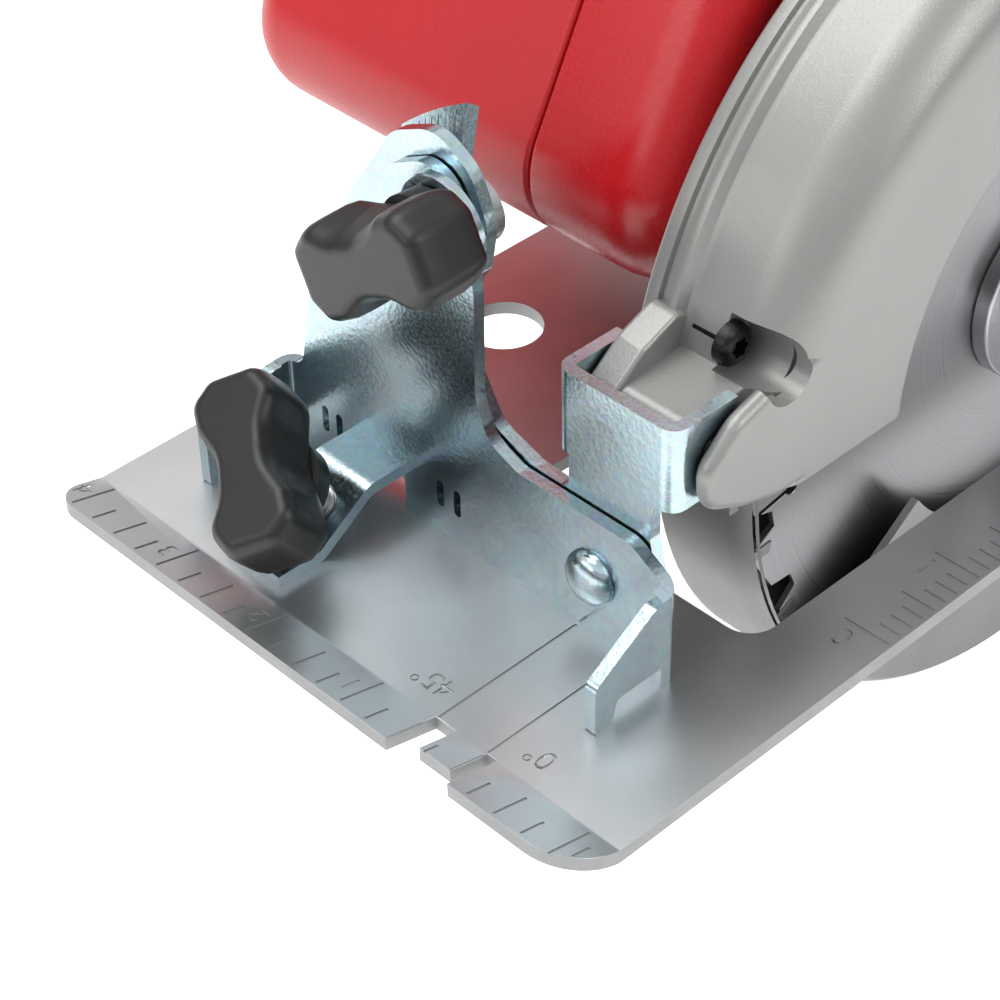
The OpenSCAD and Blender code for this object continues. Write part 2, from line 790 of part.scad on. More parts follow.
module battery_mount() {
  color([0.75, 0.1, 0.09]) difference() {
    union() {
      box([-72, 112, 78.5], [-12, 182, 88.4]);
      box([-72, 104, 58], [-12, 112.01, 88.4]);
      for (x = [-72, -16]) box([x, 118, 70], [x + 4, 182, 78.6]);
      for (y = [130, 160]) box([-70.5, y, 88.3], [-61.5, y + 9, 97]);
    }
    box([-60, 103, 56], [-24, 113, 72]);
    y_rod(120, 180, 3.1, wrench_x, wrench_z);
    box([wrench_x - 1.6, 120, wrench_z + 1], [wrench_x + 1.6, 180, 100]);
  }
}

module battery_case() {
  color([0.12, 0.12, 0.12]) difference() {
    box([pack_x0, pack_y0, 24], [pack_x1, pack_y1, 64]);
    box([pack_x0 + 2.5, pack_y0 + 2.5, 26.5], [pack_x1 - 2.5, pack_y1 - 2.5, 65]);
  }
}

module battery_lid() {
  color([0.75, 0.1, 0.09]) difference() {
    union() {
      box([pack_x0, pack_y0, 64], [pack_x1, pack_y1, 69.6]);
      box([-67.5, pack_y0, 69.5], [-16.5, 184, 76]);
      box([pack_x0, 186, 69.5], [pack_x1, pack_y1, 82]);
    }
    for (x = [pack_x0 - 1, pack_x1 - 4.5]) box([x, 189.6, 70], [x + 5.5, 206.4, 79.4]);
  }
}

module battery_cells() {
  color([0.2, 0.5, 0.3]) for (i = [0 : 4], k = [0, 1])
    x_rod(pack_x0 + 4, pack_x1 - 4, 9.1, pack_y0 + 12.6 + 18.7 * i, 36 + 18.4 * k);
}

module battery_latch(x0, x1) {
  color([0.1, 0.1, 0.1]) box([x0, 190, 70.4], [x1, 206, 79]);
}

module battery_latch_left() { battery_latch(pack_x0 - 2.6, pack_x0 + 1); }
module battery_latch_right() { battery_latch(pack_x1 - 1, pack_x1 + 2.6); }

// ---- small controls ---------------------------------------------------------

module depth_bolt() {
  color([0.7, 0.72, 0.74]) {
    x_rod(lever_x - 14, guard_in + 3.2, 3, depth_bolt_y, depth_bolt_z);
    x_rod(guard_in + 3.2, guard_in + 6, 6, depth_bolt_y, depth_bolt_z);
  }
}

module depth_lever() {
  color([0.1, 0.1, 0.1]) difference() {
    union() {
      x_rod(lever_x - 12, lever_x - 0.3, 9, depth_bolt_y, depth_bolt_z);
      x_prism(lever_x - 11, lever_x - 3)
        polygon([[depth_bolt_y - 2, depth_bolt_z - 8], [depth_bolt_y + 32, depth_bolt_z - 15],
                 [depth_bolt_y + 34, depth_bolt_z - 7], [depth_bolt_y + 2, depth_bolt_z + 8.4]]);
    }
    x_rod(lever_x - 20, lever_x + 1, 3.06, depth_bolt_y, depth_bolt_z);
  }
}

module spindle_lock_button() {
  color([0.1, 0.1, 0.1]) {
    x_rod(-58, -52, 6, lock_y, lock_z);
    x_rod(-52, -40, 3, lock_y, lock_z);
  }
}

module housing_screws() {
  color([0.12, 0.12, 0.12]) for (p = [[10, 148], [60, 88], [148, 100], [112, 176]])
    translate([handle_x - half_w, p[0], p[1]]) rotate([0, -90, 0]) cylinder(h = 1.4, r = 3.6);
}

module hex_wrench() {
  color([0.2, 0.2, 0.2]) {
    translate([wrench_x, 124, wrench_z]) rotate([-90, 0, 0]) cylinder(h = 60, r = 2.8, $fn = 6);
    translate([wrench_x, 181.6, wrench_z]) cylinder(h = 20, r = 2.8, $fn = 6);
  }
}

shoe();
front_bracket();
rear_bracket();
bracket_rivets();
bevel_bolt();
bevel_washer();
tilt_plate();
depth_arm();
bevel_pivot_pins();
depth_pivot_pin();
bevel_knob();
fence_knob();
fence_screw();
upper_guard();
guard_screws();
gear_case();
spindle_bearings();
motor_housing();
motor_cover();
motor_can();
magnets();
motor_bearings();
brush_holders();
brushes();
handle_left();
handle_right();
grip_pad();
front_grip();
switch_module();
battery_mount();
housing_screws();
depth_bolt();
depth_lever();
guard_spring();
guard_bumper();
lower_guard();
guard_lever();
spindle();
spindle_gear();
inner_flange();
saw_blade();
outer_flange();
blade_bolt();
rotor_shaft();
rotor_core();
commutator();
fan();
trigger();
lock_off_button();
spindle_lock_button();
battery_case();
battery_lid();
battery_cells();
battery_latch_left();
battery_latch_right();
hex_wrench();
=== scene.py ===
"""Looks of a cordless circular saw, built around its fixed CAD frame. Lengths are in millimetres until
plain_mesh() turns them into metres."""
import math

import bmesh
import bpy
from bpy.props import FloatProperty, FloatVectorProperty, IntProperty, PointerProperty
from mathutils import Matrix, Vector


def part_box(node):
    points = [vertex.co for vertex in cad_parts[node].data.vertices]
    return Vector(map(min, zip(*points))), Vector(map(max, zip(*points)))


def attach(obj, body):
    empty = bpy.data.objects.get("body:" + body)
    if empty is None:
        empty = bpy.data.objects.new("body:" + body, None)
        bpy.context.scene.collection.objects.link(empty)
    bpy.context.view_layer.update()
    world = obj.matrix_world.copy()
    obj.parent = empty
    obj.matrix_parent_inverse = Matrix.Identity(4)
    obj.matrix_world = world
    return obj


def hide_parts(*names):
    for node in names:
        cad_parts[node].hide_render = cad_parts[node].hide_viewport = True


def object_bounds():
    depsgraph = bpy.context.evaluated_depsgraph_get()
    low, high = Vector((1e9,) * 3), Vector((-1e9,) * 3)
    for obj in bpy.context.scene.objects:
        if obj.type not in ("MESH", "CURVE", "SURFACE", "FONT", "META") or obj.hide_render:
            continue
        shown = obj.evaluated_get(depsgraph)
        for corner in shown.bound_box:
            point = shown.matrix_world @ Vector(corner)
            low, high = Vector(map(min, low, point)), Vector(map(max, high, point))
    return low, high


bl_info = {
    "name": "Circular saw",
    "version": (1, 0, 0),
    "blender": (4, 5, 0),
    "location": "View3D > Sidebar > Saw",
    "description": "Builds the visible pieces and finishes of a cordless circular saw",
    "category": "Add Mesh",
}

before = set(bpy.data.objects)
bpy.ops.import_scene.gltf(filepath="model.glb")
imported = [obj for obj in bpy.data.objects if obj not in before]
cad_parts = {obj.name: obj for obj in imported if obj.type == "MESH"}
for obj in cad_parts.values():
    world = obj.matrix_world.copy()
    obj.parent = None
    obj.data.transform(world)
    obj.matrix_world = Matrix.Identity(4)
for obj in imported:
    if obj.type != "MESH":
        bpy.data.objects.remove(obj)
CAD_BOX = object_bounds()
MM = 0.001
METRE = 1000                     # millimetres
INCH = 25.4

# Places that the CAD frame fixes, in millimetres
ARBOR = (0.0, 28.5)              # y, z
BEVEL = (-9.0, 16.0)             # x, z
MOTOR = (-16.5, 50.5)            # y, z
BOLT = (-43.66, 73.69)           # x, z of the bevel bolt
FACE_Y = -111.0                  # front of the fixed bracket
TILT_Y = -108.1                  # front of the tilting plate
SHEET = 2.5
NOSE = (-98.0, 46.0)             # y, z of the depth pivot
NOSE_SCREW = (-84.4, 56.3)       # y, z of the guard's front screw
DEPTH_BOLT = (77.9, 39.86)       # y, z
FENCE = (-65.0, -127.0, 10.0)    # foot of the fence screw
FENCE_LEAN = math.radians(40)
HANDLE_X = -42.0                 # plane where the handle halves meet
JOINT_X = -58.0                  # plane where motor cover and housing meet


def lowest(node):
    return [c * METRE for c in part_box(node)[0]]


def highest(node):
    return [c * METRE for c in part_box(node)[1]]


# ---- colours and sizes that a user would change ------------------------------

def linear(hex_colour):
    """sRGB hex to the linear RGB that the shaders take."""
    parts = [int(hex_colour[i:i + 2], 16) / 255 for i in (1, 3, 5)]
    return [c / 12.92 if c <= 0.04045 else ((c + 0.055) / 1.055) ** 2.4 for c in parts]


def colour_prop(hex_colour, name, description):
    return FloatVectorProperty(name=name, description=description, subtype="COLOR", size=3,
                               min=0, max=1, default=linear(hex_colour))


def length_prop(mm, name, description):
    return FloatProperty(name=name, description=description, default=mm * MM, min=0,
                         subtype="DISTANCE", unit="LENGTH")


class SawColours(bpy.types.PropertyGroup):
    shell: colour_prop("#AE1018", "Shell", "Moulded red of the housing and handle")
    nylon: colour_prop("#0C0C0C", "Knobs", "Black glass-filled nylon of knobs and levers")
    rubber: colour_prop("#171717", "Grips", "Soft black grip rubber")
    casting: colour_prop("#8C8C8A", "Casting", "Painted magnesium of the upper guard")
    sole: colour_prop("#C2C3C4", "Sole", "Satin plate of the shoe")
    zinc: colour_prop("#BCCAD0", "Zinc", "Bright zinc plating of the brackets")
    steel: colour_prop("#A9AAAC", "Steel", "Bare machined steel")
    blade: colour_prop("#8D8E90", "Blade", "Ground blade plate")


class SawSizes(bpy.types.PropertyGroup):
    sheet_edge: length_prop(0.35, "Sheet edge", "Rounding of stamped sheet edges")
    fold: length_prop(3.2, "Fold radius", "Outer radius where bracket sheet is folded")
    tick_depth: length_prop(0.28, "Mark depth", "Depth of the stamped ruler marks")
    tick_width: length_prop(0.6, "Mark width", "Width of the stamped ruler marks")
    crown_fillet: length_prop(13.0, "Guard fillet", "Rounding between the guard's crown and side")
    shoulder: length_prop(13.0, "Shoulder", "Rounding of the housing beside the guard")
    end_round: length_prop(12.0, "End rounding", "Rounding of the housing's far end")
    handle_round: length_prop(9.0, "Handle rounding", "Rounding of the handle's sides")
    thread_pitch: length_prop(1.25, "Thread pitch", "Pitch of the clamp screws")
    tips: IntProperty(name="Blade tips", description="Carbide tips on the blade", default=24, min=8)


def sizes():
    return bpy.context.scene.saw_sizes


def colours():
    return bpy.context.scene.saw_colours


# ---- materials ---------------------------------------------------------------

# Noise mostly lies between these two values
NOISE = {"From Min": 0.3, "From Max": 0.7}
RELIEF = 0.3                     # height of a grain as a share of its width


def fill(tree, node, inputs):
    """Gives a node's inputs values or links."""
    for key, value in dict(inputs).items():
        if isinstance(value, bpy.types.NodeSocket):
            tree.links.new(value, node.inputs[key])
        else:
            node.inputs[key].default_value = value


def add(tree, kind, inputs=(), **settings):
    """Adds a node, sets its fields, and fills its inputs with values or links."""
    node = tree.nodes.new(kind)
    for key, value in settings.items():
        setattr(node, key, value)
    fill(tree, node, inputs)
    return node


def shade(colour, amount):
    return [min(c * amount, 1) for c in colour]


def material(name, paint):
    """The material of this name. At its first use paint(tree, place) lays its nodes, and returns
    the shader's inputs and those of its relief."""
    made = bpy.data.materials.get(name)
    if made:
        return made
    made = bpy.data.materials.new(name)
    made.use_nodes = True
    tree = made.node_tree
    inputs, relief = paint(tree, add(tree, "ShaderNodeTexCoord").outputs["Object"])
    inputs["Normal"] = add(tree, "ShaderNodeBump", relief).outputs[0]
    fill(tree, tree.nodes["Principled BSDF"], inputs)
    return made


def surface(name, colour, roughness, metallic=0.0, grain=0.5, bump=0.1, mottle=8.0, vary=0.08,
            stretch=(1, 1, 1)):
    """A solid finish: grain is the size of its texture and mottle of its broad variation, in mm."""
    def paint(tree, place):
        turned = add(tree, "ShaderNodeMapping", {"Vector": place, "Scale": stretch}).outputs[0]
        fine = add(tree, "ShaderNodeTexNoise", {"Vector": turned, "Scale": METRE / grain, "Detail": 2.0})
        broad = add(tree, "ShaderNodeTexNoise", {"Vector": place, "Scale": METRE / mottle, "Detail": 3.0})
        blend = add(tree, "ShaderNodeMapRange", {**NOISE, "Value": broad.outputs["Fac"]})
        tint = add(tree, "ShaderNodeMix", {0: blend.outputs[0], 6: (*shade(colour, 1 - vary), 1),
                                           7: (*shade(colour, 1 + vary), 1)}, data_type="RGBA")
        rough = add(tree, "ShaderNodeMapRange", {**NOISE, "Value": fine.outputs["Fac"],
                                                 "To Min": roughness * 0.85, "To Max": roughness * 1.15})
        return ({"Base Color": tint.outputs[2], "Roughness": rough.outputs[0], "Metallic": metallic},
                {"Height": fine.outputs["Fac"], "Strength": bump, "Distance": grain * MM * RELIEF})
    return material(name, paint)


def moulded_abs():
    # ABS shell, spark-eroded mould: a fine leather-like grain that scatters a soft highlight
    return surface("moulded_red_abs", colours().shell, 0.4, grain=0.55, bump=0.35, mottle=30, vary=0.05)


def smooth_abs():
    # The same ABS from a polished part of the mould: clearer reflections
    return surface("polished_red_abs", colours().shell, 0.27, grain=0.8, bump=0.08, mottle=30, vary=0.04)


def black_nylon():
    # Glass-filled nylon: dull, with a faint sheen on rounded edges
    return surface("moulded_black_nylon", colours().nylon, 0.42, grain=0.35, bump=0.18, mottle=6, vary=0.18)


def grip_rubber():
    # Thermoplastic rubber over the grip: no gloss, slightly dusty
    return surface("moulded_grip_rubber", colours().rubber, 0.62, bump=0.4, mottle=9, vary=0.2)


def painted_casting():
    # Die-cast magnesium with a metallic powder coat: fine sparkle in a grey matt film
    return surface("powder_coated_magnesium", colours().casting, 0.36, 0.42, 0.42, 0.3, 26, 0.03)


def satin_plate():
    # Rolled plate with a tumbled satin finish: broad soft reflections with fine speckle
    return surface("tumbled_satin_plate", colours().sole, 0.33, 0.9, 0.3, 0.12, 14, 0.05)


def raw_edge():
    # Sheared and tumbled edge metal: duller and a little darker than the face; the colour at half the sole's is
    # partly this metal and partly painted shade on the plate's side faces
    return surface("sheared_edge_with_painted_shade", shade(colours().sole, 0.5), 0.5, 0.3, 0.25, 0.3)


def machined_steel():
    # Turned steel: concentric tool marks too fine to see singly
    return surface("turned_steel", colours().steel, 0.3, 1.0, 0.25, 0.15, stretch=(6, 1, 1))


def guard_alloy():
    # Spun aluminium guard, clear coated
    return surface("spun_aluminium", linear("#838382"), 0.5, 0.25, 0.3, 0.15, 20)


def black_oxide():
    # Blackened steel screws: dark with an oily gloss
    return surface("black_oxide_steel", linear("#1A1A1B"), 0.3, 0.6, 0.3, 0.2)


def carbide():
    # Sintered and ground tungsten carbide
    return surface("ground_carbide", linear("#6E7073"), 0.3, 0.9, 0.15, 0.1)


def bright_zinc():
    """Electroplated zinc with blue passivate: crystals a couple of mm wide that reflect unevenly."""
    base = list(colours().zinc)
    bluish = (base[0] * 0.97, base[1] * 1.08, base[2] * 1.1, 1)

    def paint(tree, place):
        crystal = add(tree, "ShaderNodeTexVoronoi", {"Vector": place, "Scale": METRE / 1.1, "Randomness": 1.0})
        fine = add(tree, "ShaderNodeTexNoise", {"Vector": place, "Scale": METRE / 0.6, "Detail": 4.0})
        film = add(tree, "ShaderNodeTexNoise", {"Vector": place, "Scale": METRE / 22, "Detail": 2.0})
        blend = add(tree, "ShaderNodeMapRange", {**NOISE, "Value": film.outputs["Fac"]})
        tint = add(tree, "ShaderNodeMix", {0: blend.outputs[0], 6: (*shade(base, 0.82), 1), 7: bluish},
                   data_type="RGBA")
        flake = add(tree, "ShaderNodeMix", {0: 0.14, 6: tint.outputs[2], 7: crystal.outputs["Color"]},
                    data_type="RGBA", blend_type="MULTIPLY")
        rough = add(tree, "ShaderNodeMapRange", {**NOISE, "Value": fine.outputs["Fac"],
                                                 "To Min": 0.14, "To Max": 0.27})
        height = add(tree, "ShaderNodeMath", {0: crystal.outputs["Distance"], 1: fine.outputs["Fac"]},
                     operation="ADD")
        return ({"Base Color": flake.outputs[2], "Roughness": rough.outputs[0], "Metallic": 1.0},
                {"Height": height.outputs[0], "Strength": 0.16, "Distance": 0.12 * MM})
    return material("blue_bright_zinc", paint)


def ground_plate():
    """Blade steel with the rings that surface grinding leaves."""
    base = list(colours().blade)

    def paint(tree, place):
        centred = add(tree, "ShaderNodeMapping", {"Vector": place, "Location": (0, 0, -ARBOR[1] * MM),
                                                  "Scale": (0, 1, 1)}).outputs[0]
        radius = add(tree, "ShaderNodeVectorMath", {0: centred}, operation="LENGTH").outputs["Value"]
        along = add(tree, "ShaderNodeCombineXYZ", {"X": radius}).outputs[0]
        rings = add(tree, "ShaderNodeTexNoise", {"Vector": along, "Scale": METRE / 0.5, "Detail": 3.0})
        blend = add(tree, "ShaderNodeMapRange", {**NOISE, "Value": rings.outputs["Fac"]})
        tint = add(tree, "ShaderNodeMix", {0: blend.outputs[0], 6: (*shade(base, 0.86), 1),
                                           7: (*shade(base, 1.1), 1)}, data_type="RGBA")
        rough = add(tree, "ShaderNodeMapRange", {**NOISE, "Value": rings.outputs["Fac"],
                                                 "To Min": 0.26, "To Max": 0.4})
        return ({"Base Color": tint.outputs[2], "Roughness": rough.outputs[0], "Metallic": 0.95},
                {"Height": rings.outputs["Fac"], "Strength": 0.12, "Distance": 0.1 * MM})
    return material("ring_ground_steel", paint)


# ---- outlines ------------------------------------------------------------------

def fillet(points, steps=6):
    """Rounds a closed outline: a point is (u, v) or (u, v, radius)."""
    out = []
    count = len(points)
    for i, here in enumerate(points):
        p = Vector(here[:2])
        a = Vector(points[i - 1][:2]) - p
        b = Vector(points[(i + 1) % count][:2]) - p
        radius = here[2] if len(here) > 2 else 0
        half = a.angle(b) / 2
        if radius <= 0 or half > math.radians(89):
            out.append(p)
            continue
        back = min(radius / math.tan(half), a.length * 0.49, b.length * 0.49)
        r = back * math.tan(half)
        centre = p + (a.normalized() + b.normalized()).normalized() * (r / math.sin(half))
        start = p + a.normalized() * back - centre
        turn = (p + b.normalized() * back - centre).angle_signed(start)
        out += [centre + Matrix.Rotation(turn * k / steps, 2) @ start for k in range(steps + 1)]
    return out


def grown(outline, by):
    """The outline moved outwards by a distance; outlines run anticlockwise."""
    out = []
    count = len(outline)
    for i, p in enumerate(outline):
        a = (p - outline[i - 1]).normalized()
        b = (outline[(i + 1) % count] - p).normalized()
        na, nb = Vector((a.y, -a.x)), Vector((b.y, -b.x))
        mean = na + nb
        if mean.length < 0.2:
            mean = na
        mean.normalize()
        out.append(p + mean * (by / max(mean.dot(na), 0.5)))
    return out


def anticlockwise(outline):
    area = sum(p.cross(outline[i - 1]) for i, p in enumerate(outline))
    return outline if area < 0 else outline[::-1]


def convex_hull_of(circles, inset, count=160):
    """Outline of the hull of circles (u, v, r), drawn in by inset, with the same points for any inset."""
    out = []
    for k in range(count):
        turn = 2 * math.pi * k / count
        normal = Vector((math.cos(turn), math.sin(turn)))
        u, v, r = max(circles, key=lambda c: c[0] * normal.x + c[1] * normal.y + c[2])
        out.append(Vector((u, v)) + normal * (r - inset))
    return out


def to_x(u, v, w):
    """(y, z) outline at X = w"""
    return Vector((w, u, v))


def to_y(u, v, w):
    """(x, z) outline at Y = w"""
    return Vector((u, w, v))


def to_z(u, v, w):
    """(x, y) outline at Z = w"""
    return Vector((u, v, w))


# ---- meshes --------------------------------------------------------------------

def loft(sections, place):
    """A closed shell through (w, outline) sections that have the same number of points."""
    bm = bmesh.new()
    rings = [[bm.verts.new(place(p.x, p.y, w)) for p in outline] for w, outline in sections]
    count = len(rings[0])
    for low, high in zip(rings, rings[1:]):
        for i in range(count):
            j = (i + 1) % count
            bm.faces.new((low[i], low[j], high[j], high[i]))
    bm.faces.new(rings[0][::-1])
    bm.faces.new(rings[-1])
    bmesh.ops.recalc_face_normals(bm, faces=bm.faces)
    return bm


def prism(outline, low, high, place):
    return loft([(low, outline), (high, outline)], place)


def slab(points, low, high, place, steps=6):
    """A prism over an outline whose corners are rounded."""
    return prism(anticlockwise(fillet(points, steps)), low, high, place)


def block(low, high):
    corners = ((low[0], low[1]), (high[0], low[1]), (high[0], high[1]), (low[0], high[1]))
    return prism([Vector(p) for p in corners], low[2], high[2], to_z)


def revolve(profile, place, steps=96, start=0.0, stop=360.0):
    """Turns a closed (radius, along) profile about an axis; place(a, b, along) sets where the axis stands."""
    bm = bmesh.new()
    whole = stop - start >= 360
    rings = []
    for k in range(steps if whole else steps + 1):
        turn = math.radians(start + (stop - start) * k / steps)
        rings.append([bm.verts.new(place(r * math.cos(turn), r * math.sin(turn), w)) for r, w in profile])
    pairs = list(zip(rings, rings[1:] + rings[:1])) if whole else list(zip(rings, rings[1:]))
    count = len(profile)
    for a, b in pairs:
        for i in range(count):
            j = (i + 1) % count
            bm.faces.new((a[i], a[j], b[j], b[i]))
    if not whole:
        bm.faces.new(rings[0][::-1])
        bm.faces.new(rings[-1])
    bmesh.ops.remove_doubles(bm, verts=bm.verts, dist=1e-4)
    bmesh.ops.delete(bm, geom=[e for e in bm.edges if not e.link_faces], context="EDGES")
    bmesh.ops.recalc_face_normals(bm, faces=bm.faces)
    return bm


def about_arbor(u, v, w):
    return Vector((w, u + ARBOR[0], v + ARBOR[1]))


def about_bevel(u, v, w):
    return Vector((u + BEVEL[0], w, v + BEVEL[1]))


def rod(u, v, low, high, radius, place, steps=40, edge=0.0):
    """A rod with its ends chamfered by edge."""
    def at(a, b, w):
        return place(a + u, b + v, w)
    profile = [(0, low), (radius - edge, low), (radius, low + edge), (radius, high - edge),
               (radius - edge, high), (0, high)]
    if edge == 0:
        profile = [(0, low), (radius, low), (radius, high), (0, high)]
    return revolve(profile, at, steps)


def plain_mesh(bm, name="work"):
    """Turns millimetres into metres and the bmesh into a mesh."""
    data = bpy.data.meshes.new(name)
    bm.to_mesh(data)
    bm.free()
    data.transform(Matrix.Scale(MM, 4))
    return data


def work_object(shape, name="work"):
    data = plain_mesh(shape, name) if isinstance(shape, bmesh.types.BMesh) else shape
    made = bpy.data.objects.new(name, data)
    bpy.context.scene.collection.objects.link(made)
    return made


def evaluated(obj):
    """The object's mesh with its modifiers applied."""
    graph = bpy.context.evaluated_depsgraph_get()
    return bpy.data.meshes.new_from_object(obj.evaluated_get(graph), depsgraph=graph)


def discard(*objects):
    for obj in objects:
        data = obj.data
        bpy.data.objects.remove(obj)
        if data and data.users == 0:
            bpy.data.meshes.remove(data)


def combine(base, others, operation):
    """Boolean of a base with each of the other closed shapes in turn; returns a mesh."""
    held = work_object(base)
    for other in others:
        cutter = work_object(other)
        step = held.modifiers.new("cut", "BOOLEAN")
        step.operation = operation
        step.solver = "MANIFOLD"
        step.object = cutter
        made = evaluated(held)
        if not made.polygons:
            step.solver = "EXACT"
            step.use_self = True
            made = evaluated(held)
        discard(held, cutter)
        held = work_object(made)
    made = held.data.copy()
    discard(held)
    return made


def bevelled(shape, width, segments=2, angle=32):
    """Rounds the edges sharper than angle."""
    held = work_object(shape)
    step = held.modifiers.new("edge", "BEVEL")
    step.width = width * MM
    step.segments = segments
    step.limit_method = "ANGLE"
    step.angle_limit = math.radians(angle)
    step.miter_outer = "MITER_ARC"
    made = evaluated(held)
    discard(held)
    return made


def tidy_mesh(data, smooth=32):
    bm = bmesh.new()
    bm.from_mesh(data)
    bmesh.ops.remove_doubles(bm, verts=bm.verts, dist=2e-6)
    bmesh.ops.dissolve_degenerate(bm, edges=bm.edges, dist=1e-6)
    loose = [v for v in bm.verts if not v.link_faces]
    bmesh.ops.delete(bm, geom=loose, context="VERTS")
    bm.to_mesh(data)
    bm.free()
    data.shade_smooth()
    data.set_sharp_from_angle(angle=math.radians(smooth))
    return data


def piece(name, shape, finish, body, stands_for=(), smooth=32):
    """Makes a finished piece from a bmesh or a mesh, and hangs it on its body."""
    made = work_object(shape, name)
    made.data.name = name
    tidy_mesh(made.data, smooth)
    made.data.materials.clear()
    made.data.materials.append(finish)
    even = made.modifiers.new("face_weight", "WEIGHTED_NORMAL")
    even.keep_sharp = True
    if stands_for:
        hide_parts(*stands_for)
    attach(made, body)
    return made


def cad_copy(node):
    """A welded copy of a CAD node with its flat faces joined, as a mesh in metres."""
    bm = bmesh.new()
    bm.from_mesh(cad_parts[node].data)
    bmesh.ops.remove_doubles(bm, verts=bm.verts, dist=2e-6)
    bmesh.ops.dissolve_limit(bm, angle_limit=math.radians(0.6), verts=bm.verts, edges=bm.edges)
    data = bpy.data.meshes.new(node)
    bm.to_mesh(data)
    bm.free()
    return data


def carried(node, finish, body, width=0.4, segments=2, angle=32):
    """A CAD node's own shape with its edges rounded."""
    data = bevelled(cad_copy(node), width, segments, angle)
    return piece(node + "_finished", data, finish, body, (node,))


# ---- geometry nodes ------------------------------------------------------------

def node_tree(name, sockets, build):
    """The geometry node tree of this name. At its first use build(tree, given) lays its nodes."""
    if name in bpy.data.node_groups:
        return bpy.data.node_groups[name]
    tree = bpy.data.node_groups.new(name, "GeometryNodeTree")
    for label, kind in {**sockets, "Material": "Material"}.items():
        tree.interface.new_socket(label, in_out="INPUT", socket_type="NodeSocket" + kind)
    tree.interface.new_socket("Geometry", in_out="OUTPUT", socket_type="NodeSocketGeometry")
    given = tree.nodes.new("NodeGroupInput").outputs
    real = add(tree, "GeometryNodeRealizeInstances", {"Geometry": build(tree, given)})
    dressed = add(tree, "GeometryNodeSetMaterial", {"Geometry": real.outputs[0], "Material": given["Material"]})
    add(tree, "NodeGroupOutput", {0: dressed.outputs[0]})
    return tree


def grown_from(tree, values):
    """Runs a tree with the given input values and returns the plain mesh."""
    holder = work_object(bmesh.new(), "grown")
    step = holder.modifiers.new("grow", "NODES")
    step.node_group = tree
    for item in tree.interface.items_tree:
        if item.in_out == "INPUT" and item.name in values:
            step[item.identifier] = values[item.name]
    made = evaluated(holder)
    discard(holder)
    return made


def ring_of(shape, count, step, start=0.0, axis=ARBOR, finish=None):
    """Copies of a shape around an X axis, its own +Y turned outwards; angles in degrees."""
    def build(tree, given):
        index = add(tree, "GeometryNodeInputIndex").outputs[0]
        steps = add(tree, "ShaderNodeMath", {0: index, 1: given["Step"]}, operation="MULTIPLY").outputs[0]
        degrees = add(tree, "ShaderNodeMath", {0: steps, 1: given["Start"]}, operation="ADD").outputs[0]
        turn = add(tree, "ShaderNodeMath", {0: degrees}, operation="RADIANS").outputs[0]
        centre = add(tree, "ShaderNodeCombineXYZ", {"Y": given["Axis Y"], "Z": given["Axis Z"]})
        points = add(tree, "GeometryNodePoints", {"Count": given["Count"], "Position": centre.outputs[0]})
        source = add(tree, "GeometryNodeObjectInfo", {"Object": given["Piece"]})
        spin = add(tree, "ShaderNodeCombineXYZ", {"X": turn})
        return add(tree, "GeometryNodeInstanceOnPoints", {
            "Points": points.outputs[0], "Instance": source.outputs["Geometry"],
            "Rotation": spin.outputs[0]}).outputs[0]
    tree = node_tree("Ring of pieces", {"Piece": "Object", "Count": "Int", "Start": "Float", "Step": "Float",
                                        "Axis Y": "Float", "Axis Z": "Float"}, build)
    source = work_object(shape, "ring_source")
    made = grown_from(tree, {"Piece": source, "Count": count, "Start": start, "Step": step,
                             "Axis Y": axis[0] * MM, "Axis Z": axis[1] * MM,
                             "Material": finish or machined_steel()})
    discard(source)
    return made


def row_of(shape, count, first, offset):
    """Copies of a shape in a row."""
    def build(tree, given):
        line = add(tree, "GeometryNodeMeshLine", {"Count": given["Count"], "Start Location": given["First"],
                                                  "Offset": given["Offset"]})
        source = add(tree, "GeometryNodeObjectInfo", {"Object": given["Piece"]})
        return add(tree, "GeometryNodeInstanceOnPoints",
                   {"Points": line.outputs[0], "Instance": source.outputs["Geometry"]}).outputs[0]
    tree = node_tree("Row of pieces", {"Piece": "Object", "Count": "Int", "First": "Vector",
                                       "Offset": "Vector"}, build)
    source = work_object(shape, "row_source")
    made = grown_from(tree, {"Piece": source, "Count": count, "First": Vector(first) * MM,
                             "Offset": Vector(offset) * MM, "Material": machined_steel()})
    discard(source)
    return made


